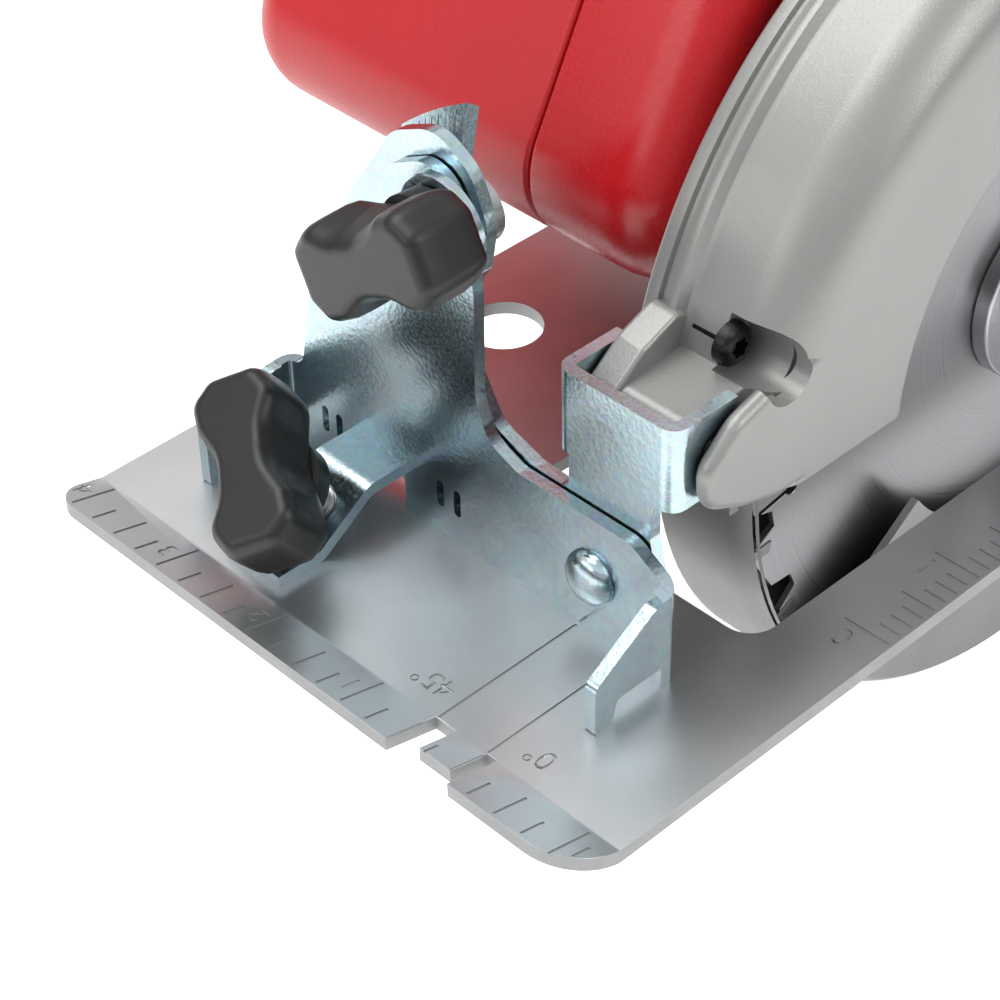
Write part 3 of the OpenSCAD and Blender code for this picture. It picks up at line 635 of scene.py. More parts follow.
def ruler(count, per_inch, middle, short):
    """Marks of an inch ruler along +X that grow along +Y: whole inches, halves and the rest."""
    def build(tree, given):
        offset = add(tree, "ShaderNodeCombineXYZ", {"X": given["Pitch"]})
        line = add(tree, "GeometryNodeMeshLine", {"Count": given["Count"], "Offset": offset.outputs[0]})
        index = add(tree, "GeometryNodeInputIndex").outputs[0]
        half = add(tree, "ShaderNodeMath", {0: given["Per Inch"], 1: 0.5}, operation="MULTIPLY").outputs[0]
        gains = []
        for period, high, low in ((half, "Middle", "Short"), (given["Per Inch"], "Long", "Middle")):
            rest = add(tree, "ShaderNodeMath", {0: index, 1: period}, operation="MODULO").outputs[0]
            hit = add(tree, "ShaderNodeMath", {0: rest, 1: 0.0, 2: 0.1}, operation="COMPARE").outputs[0]
            gain = add(tree, "ShaderNodeMath", {0: given[high], 1: given[low]}, operation="SUBTRACT").outputs[0]
            gains.append(add(tree, "ShaderNodeMath", {0: hit, 1: gain}, operation="MULTIPLY").outputs[0])
        gain = add(tree, "ShaderNodeMath", {0: gains[0], 1: gains[1]}, operation="ADD").outputs[0]
        length = add(tree, "ShaderNodeMath", {0: given["Short"], 1: gain}, operation="ADD").outputs[0]
        cube = add(tree, "GeometryNodeMeshCube", {"Size": (1, 1, 1)})
        footed = add(tree, "GeometryNodeTransform",
                     {"Geometry": cube.outputs["Mesh"], "Translation": (0, 0.5, 0)})
        size = add(tree, "ShaderNodeCombineXYZ", {"X": given["Width"], "Y": length, "Z": given["Depth"]})
        return add(tree, "GeometryNodeInstanceOnPoints", {
            "Points": line.outputs[0], "Instance": footed.outputs[0], "Scale": size.outputs[0]}).outputs[0]
    lengths = ("Pitch", "Per Inch", "Long", "Middle", "Short", "Width", "Depth")
    tree = node_tree("Ruler marks", {"Count": "Int", **{label: "Float" for label in lengths}}, build)
    s = sizes()
    return grown_from(tree, {
        "Count": count, "Pitch": INCH / per_inch * MM, "Per Inch": float(per_inch), "Long": INCH_MARK,
        "Middle": middle, "Short": short, "Width": s.tick_width, "Depth": 2 * s.tick_depth,
        "Material": satin_plate()})


# ---- shapes used more than once ------------------------------------------------

def joined(*shapes):
    """Several shapes in one mesh, as separate shells."""
    bm = bmesh.new()
    for shape in shapes:
        data = plain_mesh(shape) if isinstance(shape, bmesh.types.BMesh) else shape
        bm.from_mesh(data)
        bpy.data.meshes.remove(data)
    data = bpy.data.meshes.new("joined")
    bm.to_mesh(data)
    bm.free()
    return data


def thread(radius, pitch, low, high, place, steps=28):
    """A screw thread as one swept helix with closed ends."""
    bm = bmesh.new()
    depth = pitch * 0.6
    turns = int((high - low) / pitch)
    grid = []
    for k in range(turns * steps + 1):
        turn = 2 * math.pi * k / steps
        base = low + pitch * k / steps
        fade = min(1, k / steps, (turns * steps - k) / steps)
        row = []
        for r, w in ((radius - depth, 0), (radius - depth * (1 - fade), pitch * 0.38),
                     (radius - depth * (1 - fade), pitch * 0.62)):
            row.append(bm.verts.new(place(r * math.cos(turn), r * math.sin(turn), min(base + w, high))))
        grid.append(row)
    for k, (a, b) in enumerate(zip(grid, grid[1:])):
        bm.faces.new((a[0], a[1], b[1], b[0]))
        bm.faces.new((a[1], a[2], b[2], b[1]))
        if k + steps < len(grid) - 1:
            up, over = grid[k + steps], grid[k + steps + 1]
            bm.faces.new((a[2], up[0], over[0], b[2]))
    for edge_row, side in ((grid[:steps + 1], 0), (grid[-steps - 1:], 2)):
        centre = bm.verts.new(sum((r[side].co for r in edge_row[:-1]), Vector()) / steps)
        for a, b in zip(edge_row, edge_row[1:]):
            if a[side] is not b[side]:
                bm.faces.new((a[side], b[side], centre))
    bmesh.ops.remove_doubles(bm, verts=bm.verts, dist=1e-3)
    bmesh.ops.holes_fill(bm, edges=bm.edges, sides=0)
    bmesh.ops.recalc_face_normals(bm, faces=bm.faces)
    return bm


def screw_head(radius, height):
    """A pan-head screw along +X at the origin, with a six-lobed recess."""
    def at(u, v, w):
        return Vector((w, u, v))
    dome = [(0, 0), (radius, 0), (radius, height * 0.35), (radius * 0.93, height * 0.7),
            (radius * 0.75, height * 0.92), (radius * 0.5, height), (0, height)]
    lobes = []
    for k in range(36):
        turn = 2 * math.pi * k / 36
        r = radius * (0.42 + 0.07 * math.cos(6 * turn))
        lobes.append(Vector((r * math.cos(turn), r * math.sin(turn))))
    return combine(revolve(dome, at, 36), [prism(lobes, height * 0.35, height + 1, at)], "DIFFERENCE")


def moved(data, offset):
    data.transform(Matrix.Translation(Vector(offset) * MM))
    return data


def facing_left(radius, height, place):
    """A pan-head screw along -X at a place."""
    head = screw_head(radius, height)
    head.transform(Matrix.Rotation(math.pi, 4, "Z"))
    return moved(head, place)


def numerals(text, size, depth, place):
    """Figures as a closed mesh that cuts the surface; place is their 4x4 in millimetres."""
    curve = bpy.data.curves.new("figures", "FONT")
    curve.body = text
    curve.size = size * MM
    curve.extrude = depth * MM
    curve.align_x = "CENTER"
    curve.align_y = "CENTER"
    curve.resolution_u = 3
    holder = bpy.data.objects.new("figures", curve)
    bpy.context.scene.collection.objects.link(holder)
    data = evaluated(holder)
    bpy.data.objects.remove(holder)
    data.transform(place)
    bm = bmesh.new()
    bm.from_mesh(data)
    bmesh.ops.remove_doubles(bm, verts=bm.verts, dist=1e-7)
    bm.to_mesh(data)
    bm.free()
    return data


def placed(x, y, z, turn=0.0, lean=0.0):
    """Place of a figure: turn about Z, then lean about X, in degrees."""
    return (Matrix.Translation(Vector((x, y, z)) * MM) @ Matrix.Rotation(math.radians(lean), 4, "X")
            @ Matrix.Rotation(math.radians(turn), 4, "Z"))


def folded_sheet(path, radius, low, high, place):
    """Sheet folded along an open path in plan, on the path's left side, from low to high."""
    ends = [Vector(path[0]), Vector(path[-1])]
    middle = [(p[0], p[1], radius) for p in path[1:-1]]
    line = []
    points = [ends[0]] + middle + [ends[1]]
    for i, p in enumerate(points):
        if i in (0, len(points) - 1):
            line.append(Vector(p[:2]))
        else:
            local = fillet([tuple(points[i - 1][:2]), p, tuple(points[i + 1][:2])], 6)
            line += local[1:-1]
    inner = []
    for i, p in enumerate(line):
        a = (p - line[i - 1]).normalized() if i else (line[1] - p).normalized()
        b = (line[i + 1] - p).normalized() if i < len(line) - 1 else a
        n = (Vector((-a.y, a.x)) + Vector((-b.y, b.x))).normalized()
        inner.append(p + n * (SHEET / max(n.dot(Vector((-a.y, a.x))), 0.5)))
    return prism(anticlockwise(line + inner[::-1]), low, high, place)


# ---- shoe and brackets ------------------------------------------------------------

SHOE_FRONT = -157.0
TOE = 11.5
TOE_RISE = 2.9
SHOE_RIGHT = 31.5
SHOE_T = 3.0
SIDE_ZERO_Y = -76.5              # where the side ruler reads 0


INCH_MARK = 0.0102               # metres
TOE_GAP = 0.9                    # from the toe's edge to the front ruler
SIDE_GAP = 0.8                   # from the plate's edge to the side ruler
FRONT_FIRST = -4                 # inch at the left end of the front ruler


def front_marks():
    marks = ruler(21, 4, 0.0078, 0.0055)
    lean = -math.atan2(TOE_RISE, TOE)
    foot = (FRONT_FIRST * INCH * MM, (SHOE_FRONT + TOE_GAP) * MM,
            (SHOE_T + TOE_RISE * (1 - TOE_GAP / TOE)) * MM)
    marks.transform(Matrix.Translation(foot) @ Matrix.Rotation(lean, 4, "X"))
    return marks


def side_marks():
    marks = ruler(57, 8, 0.0075, 0.0048)
    foot = ((SHOE_RIGHT - SIDE_GAP) * MM, SIDE_ZERO_Y * MM, SHOE_T * MM)
    marks.transform(Matrix.Translation(foot) @ Matrix.Rotation(math.pi / 2, 4, "Z"))
    return marks


def shoe_figures():
    depth = sizes().tick_depth / MM
    lean = -math.degrees(math.atan2(TOE_RISE, TOE))
    height = SHOE_T + TOE_RISE * 5.6 / TOE
    cuts = []
    for inches in (-4, -3, -2, -1, 1):
        beside = inches * INCH + math.copysign(2.8, inches)
        cuts.append(numerals(str(abs(inches)), 6.2, depth, placed(beside, SHOE_FRONT + 6.0, height, 180, lean)))
    for inches in range(8):
        cuts.append(numerals(str(inches), 6.8, depth,
                             placed(23.4 - 1.5 * (inches > 0), SIDE_ZERO_Y - 3.8 + inches * INCH, SHOE_T, 180)))
    cuts.append(numerals("45°", 6.4, depth, placed(-19.5, -139.4, SHOE_T, 180)))
    cuts.append(numerals("0°", 6.4, depth, placed(7.0, -139.4, SHOE_T, 180)))
    return cuts


class SAW_OT_shoe(bpy.types.Operator):
    """Shoe plate with turned-up toe, stamped rulers, scribed cut lines and figures"""
    bl_idname = "saw.shoe"
    bl_label = "Shoe"

    def execute(self, context):
        depth = sizes().tick_depth / MM
        plate = bevelled(cad_copy("shoe"), 0.55, 3)
        lines = [block((x - 0.3, -145.2, SHOE_T - depth), (x + 0.3, -111.5, SHOE_T + 1)) for x in (0.0, -12.3)]
        plate = combine(plate, [front_marks(), side_marks(), *lines], "DIFFERENCE")
        plate = combine(plate, shoe_figures(), "DIFFERENCE")
        made = piece("shoe_plate", plate, satin_plate(), "base", ("shoe",), smooth=25)
        # Faces that point neither up nor down take the half-dark edge finish: edge metal, and painted shade on
        # the plate's sides
        made.data.materials.append(raw_edge())
        for face in made.data.polygons:
            face.material_index = int(abs(face.normal.z) < 0.5)
        return {"FINISHED"}


class SAW_OT_front_bracket(bpy.types.Operator):
    """Fixed front bracket: folded face, side gussets and the strap over the fence bar"""
    bl_idname = "saw.front_bracket"
    bl_label = "Front bracket"

    def execute(self, context):
        fold = sizes().fold / MM
        left, right = -92.0, 10.0
        wrap = folded_sheet([(left + SHEET, FACE_Y - 21.5), (left + SHEET, FACE_Y), (right - SHEET, FACE_Y),
                             (right - SHEET, FACE_Y - 18.5)], fold - SHEET, SHOE_T, 100, to_z)
        face = [(left - 1, 2), (right + 1, 2), (right + 1, 22.5, 2), (0, 29, 6), (-27.5, 29, 5), (-35, 32, 7),
                       (-37.8, 40, 9), (-37.4, 62, 14), (-38.6, 74, 8), (-43, 82.5, 7), (-49, 84, 6),
                       (-57, 80, 5), (-77, 58, 14), (-82.4, 40, 9), (-85.8, 22, 4), (left - 1, 21)]
        upright = slab(face, FACE_Y - 2.2, FACE_Y + 4, to_y)
        gussets = []
        for x, back, front, reach in ((left, 21, 17, 21.5), (right, 22.5, 13.5, 18.5)):
            side = [(FACE_Y + 4, back), (FACE_Y + 4, 2), (FACE_Y - 0.5, 2), (FACE_Y - 0.5, 8, 0.6),
                    (FACE_Y - 13, 8, 1.5), (FACE_Y - 14.5, SHOE_T, 0.4), (FACE_Y - reach, SHOE_T, 0.6),
                    (FACE_Y - reach, front, 2.5), (FACE_Y - 4, back, 3)]
            gussets.append(slab(side, x - 4.2, x + 4.2, to_x, 5))
        keep = combine(upright, gussets, "UNION")
        body = combine(wrap, [keep], "INTERSECT")
        top = 14.0
        strap_line = [(FACE_Y + 0.4, top - SHEET), (FACE_Y - 8.2, top - SHEET),
                      (FACE_Y - 21, SHOE_T), (FACE_Y - 31.6, SHOE_T)]
        strap = folded_sheet(strap_line[::-1], 4, -72.8, -57.6, to_x)
        body = combine(body, [strap], "UNION")
        cuts = [rod(BOLT[0], BOLT[1], -120, -100, 4.2, to_y), rod(BEVEL[0], BEVEL[1], -120, -100, 3.1, to_y),
                block((-72.8, FACE_Y - 0.6, 2), (-57.8, FACE_Y + 4, 11.2)), fence_hole()]
        for x in (-80, -76, -48, -43.5):
            slit = [(x + u, v, 0.85) for u, v in ((-0.9, 9.5), (0.9, 9.5), (0.9, 15.5), (-0.9, 15.5))]
            cuts.append(slab(slit, FACE_Y - 1.2, FACE_Y + 4, to_y, 4))
        body = combine(body, cuts, "DIFFERENCE")
        body = bevelled(body, sizes().sheet_edge / MM, 2, 40)
        piece("front_bracket_folded", body, bright_zinc(), "base", ("front_bracket",))
        carried("rear_bracket", bright_zinc(), "base", 0.35)
        return {"FINISHED"}


def fence_frame():
    """Place of the fence screw, in millimetres."""
    return Matrix.Translation(FENCE) @ Matrix.Rotation(FENCE_LEAN, 4, "X")


def fence_point(u, v, w):
    return fence_frame() @ Vector((u, v, w))


def fence_hole():
    return revolve([(0, -15), (4.1, -15), (4.1, 15), (0, 15)], fence_point, 32)


class SAW_OT_tilt_plate(bpy.types.Operator):
    """Tilting plate: its face with the curved slot, the scale flange and the folded nose bracket"""
    bl_idname = "saw.tilt_plate"
    bl_label = "Tilting plate"

    def execute(self, context):
        face = [(-9, 3.9, 3), (-40, 4.2, 3), (-80, 9, 5), (-84, 24, 6), (-80.5, 46, 14), (-71.5, 67, 16),
                (-60, 84, 10), (-49, 89, 8), (-40.5, 84, 8), (-36.4, 75, 9), (-38.2, 65, 2),
                (-41.5, 60, 3),
                       (-41, 42, 6), (-36, 33, 6), (-26, 29.6, 5), (-17.5, 29.3, 2), (-17.5, 38, 0), (2, 38, 0),
                       (2, 29.3, 2.5), (4, 20, 9), (1, 7, 9)]
        plate = slab(face, TILT_Y, TILT_Y + SHEET, to_y)
        fold = sizes().fold / MM
        nose = folded_sheet([(-21, TILT_Y + 15.4), (-21, TILT_Y), (7.1, TILT_Y), (7.1, TILT_Y + 15.4)],
                            fold, 37, 54.5, to_z)
        column = slab([(-17.5, 34), (2, 34), (2, 40), (-17.5, 40)], TILT_Y, TILT_Y + SHEET, to_y)
        bend = [(72, TILT_Y + 0.02), (75.4, TILT_Y + 0.02), (77, TILT_Y + 0.9), (85, TILT_Y + 6.6),
                (83.6, TILT_Y + 8.6), (76, TILT_Y + 3.4), (74.4, TILT_Y + SHEET - 0.02),
                (72, TILT_Y + SHEET - 0.02)]
        flange = revolve(bend, about_bevel, 24, 117, 131)
        body = combine(plate, [nose, column, flange], "UNION")
        slot_r, half = 67.3, 4.3     # mean radius and half width of the slot
        slot = [(slot_r - half, -112), (slot_r + half, -112), (slot_r + half, -103), (slot_r - half, -103)]
        cuts = [revolve(slot, about_bevel, 48, 121, 171)]
        for angle in (121, 171):
            turn = math.radians(angle)
            cuts.append(rod(BEVEL[0] + slot_r * math.cos(turn), BEVEL[1] + slot_r * math.sin(turn),
                            -112, -103, half - 0.01, to_y))
        cuts.append(rod(NOSE[0], NOSE[1], -30, 20, 3.05, to_x))
        for degrees in (119.0, 122.6, 124.0, 125.4, 126.8, 128.2):
            cuts.append(scale_mark(math.radians(degrees)))
        body = combine(body, cuts, "DIFFERENCE")
        body = bevelled(body, sizes().sheet_edge / MM, 2, 40)
        piece("tilt_plate_folded", body, bright_zinc(), "tilt_frame", ("tilt_plate",))
        carried("depth_arm", bright_zinc(), "tilt_frame", 0.35)
        return {"FINISHED"}


def scale_mark(turn):
    """A fine line up the sloping scale flange, at an angle about the bevel axis."""
    bm = bmesh.new()
    corners = []
    for across in (-0.16, 0.16):
        for radius, along in ((78.8, 1.6), (78.3, 2.24), (84.0, 6.24), (84.5, 5.6)):
            spin = turn + across / radius
            corner = about_bevel(radius * math.cos(spin), radius * math.sin(spin), TILT_Y + along)
            corners.append(bm.verts.new(corner))
    a, b = corners[:4], corners[4:]
    bm.faces.new(a[::-1])
    bm.faces.new(b)
    for i in range(4):
        j = (i + 1) % 4
        bm.faces.new((a[i], a[j], b[j], b[i]))
    bmesh.ops.recalc_face_normals(bm, faces=bm.faces)
    return bm


class SAW_OT_fasteners(bpy.types.Operator):
    """Pivot rivets, bolts, washers and threaded clamp screws"""
    bl_idname = "saw.fasteners"
    bl_label = "Fasteners"

    def execute(self, context):
        s = sizes()
        steel, zinc = machined_steel(), bright_zinc()
        dome = [(0, 0), (5.6, 0), (5.5, 0.7), (5.0, 1.6), (4.1, 2.3), (2.8, 2.85), (1.4, 3.1), (0, 3.15)]

        def front_head(u, v, w):
            return about_bevel(u, v, FACE_Y - 0.1 - w)

        def rear_head(u, v, w):
            return about_bevel(u, v, 109.7 + w)
        rivets = joined(revolve(dome, front_head, 48), revolve(dome, rear_head, 48),
                        rod(*BEVEL, FACE_Y - 0.2, TILT_Y + SHEET, 2.95, to_y, edge=0.3),
                        rod(*BEVEL, 104.1, 109.8, 2.95, to_y, edge=0.3))
        piece("bevel_pivot_rivets", rivets, zinc, "tilt_frame", ("bevel_pivot_pins",))
        pin = joined(rod(*NOSE, -22.3, 6.9, 2.95, to_x, edge=0.5))
        piece("depth_pivot_pin_turned", pin, steel, "tilt_frame", ("depth_pivot_pin",))

        def bolt_point(u, v, w):
            return Vector((u + BOLT[0], w, v + BOLT[1]))
        pitch = s.thread_pitch / MM
        bolt = joined(thread(3.9, pitch, FACE_Y - 14.6, TILT_Y - 0.4, bolt_point),
                      rod(*BOLT, TILT_Y - 0.6, TILT_Y + SHEET + 3.0, 3.8, to_y, edge=0.3),
                      revolve([(0, TILT_Y + 2.8), (6.3, TILT_Y + 2.8), (6.3, TILT_Y + 5.0), (5.2, TILT_Y + 5.7),
                               (0, TILT_Y + 5.7)], bolt_point, 48))
        piece("bevel_bolt_threaded", bolt, steel, "base", ("bevel_bolt",))
        screw = joined(thread(3.85, pitch, -3.9, 18.5, fence_point),
                       revolve([(0, -4.2), (2.6, -4.2), (3.1, -3.6), (3.1, 18.9), (0, 18.9)], fence_point, 36))
        piece("fence_screw_threaded", screw, steel, "fence_clamp", ("fence_screw",))
        washer = revolve([(4.2, FACE_Y - 0.05), (10, FACE_Y - 0.05), (10, FACE_Y - 1.5), (9.7, FACE_Y - 1.8),
                          (4.5, FACE_Y - 1.8), (4.2, FACE_Y - 1.5)], bolt_point, 48)
        piece("bevel_washer_pressed", washer, zinc, "base", ("bevel_washer",))
        for node, body in (("bracket_rivets", "base"), ("depth_bolt", "saw_body")):
            carried(node, steel, body, 0.25)
        return {"FINISHED"}


# ---- knobs -----------------------------------------------------------------------

def knob_outline(grow=0.0, waist=6.6):
    """Plan of a wing knob: blunt ends, and a thumb hollow on each long side."""
    half = [(18, -4.6, 3.6), (18, 5.6, 3.6), (13.8, 10.2, 4), (8, 9.4, 5), (1.5, waist, 9),
            (-6, waist + 0.2, 9), (-12, 8.6, 4.5)]
    return grown(anticlockwise(fillet(half + [(-u, -v, r) for u, v, r in half], 7)), grow)


KNOB_FOOT = 3.3                  # height above the sheet where the wings start
KNOB_DEPTH = 15.1
BEVEL_KNOB_TURN = math.radians(-26)
FENCE_KNOB_TURN = math.radians(135)
FENCE_KNOB_SEAT = 7.5            # along the fence screw


def turned(u, v, angle):
    return u * math.cos(angle) - v * math.sin(angle), u * math.sin(angle) + v * math.cos(angle)


def wing_knob(place):
    """A moulded wing knob along its axis, with a round neck."""
    stations = [(0.0, -2.4, 7.6), (0.05, -1.2, 7.6), (0.14, -0.5, 7.6), (0.3, -0.1, 7.2), (0.6, 0.0, 6.4),
                (0.8, -0.1, 5.9), (0.89, -0.5, 5.7), (0.95, -1.1, 5.7), (0.985, -1.9, 5.8), (1.0, -3.0, 5.9)]
    wings = loft([(KNOB_FOOT + KNOB_DEPTH * share, knob_outline(grow, waist))
                  for share, grow, waist in stations], place)
    neck = revolve([(4.05, 0.05), (7.9, 0.05), (8.3, 0.55), (8.6, 5), (4.05, 5)], place, 40)
    return combine(wings, [neck], "UNION")


class SAW_OT_knobs(bpy.types.Operator):
    """The bevel and rip-fence wing knobs, each moulded round its nut"""
    bl_idname = "saw.knobs"
    bl_label = "Knobs"

    def execute(self, context):
        def bevel_point(u, v, w):
            across = Vector(turned(u, v, -BEVEL_KNOB_TURN))
            return Vector((BOLT[0] + across.x, FACE_Y - 2.1 - w, BOLT[1] + across.y))

        def fence_knob_point(u, v, w):
            return fence_point(*turned(u, v, FENCE_KNOB_TURN), w + FENCE_KNOB_SEAT)
        for name, place, body in (("bevel_knob", bevel_point, "bevel_clamp"),
                                  ("fence_knob", fence_knob_point, "fence_clamp")):
            piece(name + "_moulded", wing_knob(place), black_nylon(), body, (name,), smooth=38)
        return {"FINISHED"}


# ---- guards and blade ---------------------------------------------------------------

GUARD_R = 91.5
GUARD_IN = -21.0
GUARD_OUT = 11.5
GUARD_WALL = 3.0
WINDOW_R = 53.0


def guard_corner(inset):
    """The rounding between crown and side, as quarter-ellipse points drawn in by inset."""
    reach = sizes().crown_fillet / MM
    drop = reach * 0.85
    points = []
    for degrees in range(6, 91, 7):
        turn = math.radians(degrees)
        points.append((GUARD_R - 1.5 - drop + (drop - inset) * math.cos(turn),
                       GUARD_OUT - reach + (reach - inset) * math.sin(turn)))
    return points


def crown_profile():
    """Section of the crown from the motor side: lip, seam groove, band and bright bead."""
    return [(GUARD_R - 1.6, GUARD_IN), (GUARD_R - 0.4, GUARD_IN + 0.5), (GUARD_R, GUARD_IN + 1.2),
             (GUARD_R, -17.6), (GUARD_R - 0.9, -17.2), (GUARD_R - 0.9, -16.4), (GUARD_R - 0.1, -15.9),
             (GUARD_R + 0.1, -14.9), (GUARD_R + 0.75, -14.4), (GUARD_R + 0.95, -13.6), (GUARD_R + 0.75, -12.8),
             (GUARD_R - 0.1, -12.3), (GUARD_R - 1.1, -11.7), (GUARD_R - 1.5, -10.4)]


def guard_profile():
    """Section of the upper guard: crown, large rounding, side, window edge, and back inside."""
    side = [(WINDOW_R + 1.2, GUARD_OUT), (WINDOW_R + 0.3, GUARD_OUT - 0.3),
            (WINDOW_R, GUARD_OUT - 1.2), (WINDOW_R, GUARD_OUT - 2.2)]
    inside = guard_corner(2.2)[::-1] + [
        (87.6, GUARD_IN + GUARD_WALL), (25, GUARD_IN + GUARD_WALL), (25, -7), (20, -7), (20, -10),
        (14.05, -10), (14.05, GUARD_IN)]
    return crown_profile() + guard_corner(0) + side + inside


class SAW_OT_upper_guard(bpy.types.Operator):
    """Die-cast upper guard with its bead, nose, window and the recess of the nose screw"""
    bl_idname = "saw.upper_guard"
    bl_label = "Upper guard"

    def execute(self, context):
        shell = revolve(guard_profile(), about_arbor, 160)
        low = 31.0

        def wedge(start, stop, x0, x1):
            fan = [Vector((0, ARBOR[1]))]
            for k in range(9):
                turn = math.radians(start + (stop - start) * k / 8)
                fan.append(Vector((160 * math.cos(turn), ARBOR[1] + 160 * math.sin(turn))))
            return prism(fan, x0, x1, to_x)
        waste = combine(wedge(186, 352, -23, 14), [block((3.3, -120, -80), (14, 120, low)),
                                                   block((-24, -120, -80), (GUARD_OUT - 0.1, 0, 24))], "UNION")
        waste = combine(waste, [rod(*ARBOR, -25, 0, 26.5, to_x, 64)], "DIFFERENCE")
        shell = combine(shell, [waste], "DIFFERENCE")
        nose = [(NOSE[0] - 6.6, 48.5, 3), (NOSE[0] - 4.4, 51.2, 3), (-96, 56, 2), (-86, 60, 3), (-81, 50, 1),
                (-81.5, 41, 1), (NOSE[0] + 3, 39.2, 4), (NOSE[0] - 6.9, 40.5, 5)]
        cheek = [(-104.6, 46, 6), (-104, 38, 6), (-95, 33.6, 4), (-86, low, 4), (-60, low, 4),
                 (-66, 56, 4), (-84, 57, 8), (-97, 53, 8)]
        tongue = [(NOSE[0] - 6.6, 47.5, 3), (NOSE[0] - 3, 51, 3), (-86, 52.5, 3), (-81, 50, 1), (-81.5, 41, 1),
                  (NOSE[0] + 3, 39.2, 4), (NOSE[0] - 6.9, 40.5, 5)]
        solid = combine(bevelled(slab(nose, -18.1, -11.4, to_x), 0.9, 3),
                        [bevelled(slab(tongue, -14, 4.2, to_x), 0.9, 3),
                         bevelled(slab(cheek, 7.6, GUARD_OUT, to_x, 8), 2.6, 6)], "UNION")
        solid = combine(solid, [rod(*ARBOR, GUARD_IN + GUARD_WALL, GUARD_OUT - GUARD_WALL, 87.6, to_x, 96)],
                        "DIFFERENCE")
        filled = revolve([(0, GUARD_IN)] + crown_profile() + guard_corner(0) + [(0, GUARD_OUT)],
                         about_arbor, 160)
        boss = combine(filled, [rod(*NOSE_SCREW, -13, 7, 6.5, to_x, 48)], "INTERSECT")
        body = combine(shell, [solid, boss], "UNION")
        body = combine(body, [rod(*NOSE, -22, 8, 3.06, to_x), rod(*NOSE_SCREW, -3, 13, 5.6, to_x, 48),
                              rod(*DEPTH_BOLT, -24, 5.5, 3.06, to_x)], "DIFFERENCE")
        piece("upper_guard_cast", body, painted_casting(), "saw_body", ("upper_guard",), smooth=36)
        return {"FINISHED"}


class SAW_OT_lower_guard(bpy.types.Operator):
    """Retracting lower guard with its finger lever and bumper"""
    bl_idname = "saw.lower_guard"
    bl_label = "Lower guard"

    def execute(self, context):
        gap = 2.9                    # the upper guard's wall, and what lets this guard pass inside it
        corner = revolve([(81.5, 4.6), (85.4, 1.6), (86.5, 1.6), (86.5, 6.8), (81.5, 6.8)],
                         about_arbor, 80, 217, 373)
        nested = revolve([(0, -22), (87.1, -22)] + guard_corner(gap) + [(0, GUARD_OUT - gap)],
                         about_arbor, 160)
        rim = revolve([(85, -16.5), (87, -16.5), (87, -6.5), (85, -6.5)], about_arbor, 80, 172.5, 373.5)
        body = combine(combine(cad_copy("lower_guard"), [corner, rim], "UNION"), [nested], "INTERSECT")
        piece("lower_guard_spun", bevelled(body, 0.4, 3, 40), guard_alloy(), "retracting_guard",
              ("lower_guard",), smooth=36)
        carried("guard_lever", black_nylon(), "retracting_guard", 0.8, 3)
        carried("guard_bumper", grip_rubber(), "saw_body", 0.8, 3)
        return {"FINISHED"}


class SAW_OT_blade(bpy.types.Operator):
    """Blade plate with gullets and expansion slots, carbide tips, flanges and bolt"""
    bl_idname = "saw.blade"
    bl_label = "Blade"

    def execute(self, context):
        tips = sizes().tips
        slots = []
        for degrees in (9, 99, 189, 279):
            slot = combine(rod(70, 0, -2, 2, 1.6, to_x, 24), [block((-2, 70, -0.5), (2, 86, 0.5))], "UNION")
            slots.append(ring_of(slot, 1, 0, start=degrees))
        plate = combine(cad_copy("saw_blade"), slots, "DIFFERENCE")
        plate = bevelled(plate, 0.12, 1, 50)
        piece("blade_plate", plate, ground_plate(), "arbor", ("saw_blade",))
        tip = [Vector(p) for p in ((77.0, 0.5), (82.3, -0.6), (82.3, 1.6), (78.2, 2.9))]
        cutter = bevelled(prism(anticlockwise(tip), -0.98, 0.98, to_x), 0.1, 1)
        tips_mesh = ring_of(cutter, tips, -360 / tips, finish=carbide())
        piece("blade_carbide_tips", tips_mesh, carbide(), "arbor")
        for node in ("inner_flange", "outer_flange"):
            carried(node, machined_steel(), "arbor", 0.6, 3)
        carried("blade_bolt", black_oxide(), "arbor", 0.4, 2)
        return {"FINISHED"}


# ---- housing ------------------------------------------------------------------------

HOUSING = [(-60, 61, 18), (-36, 94, 24), (-16.5, 51.5, 33)]


def housing(inset):
    return convex_hull_of(HOUSING, inset, 200)


def housing_shell(outside, inside):
    """What lies between two lofts of the housing's outline, each through (x, inset) stations."""
    outer, inner = (loft([(x, housing(inset)) for x, inset in stations], to_x)
                    for stations in (outside, inside))
    return combine(outer, [inner], "DIFFERENCE")


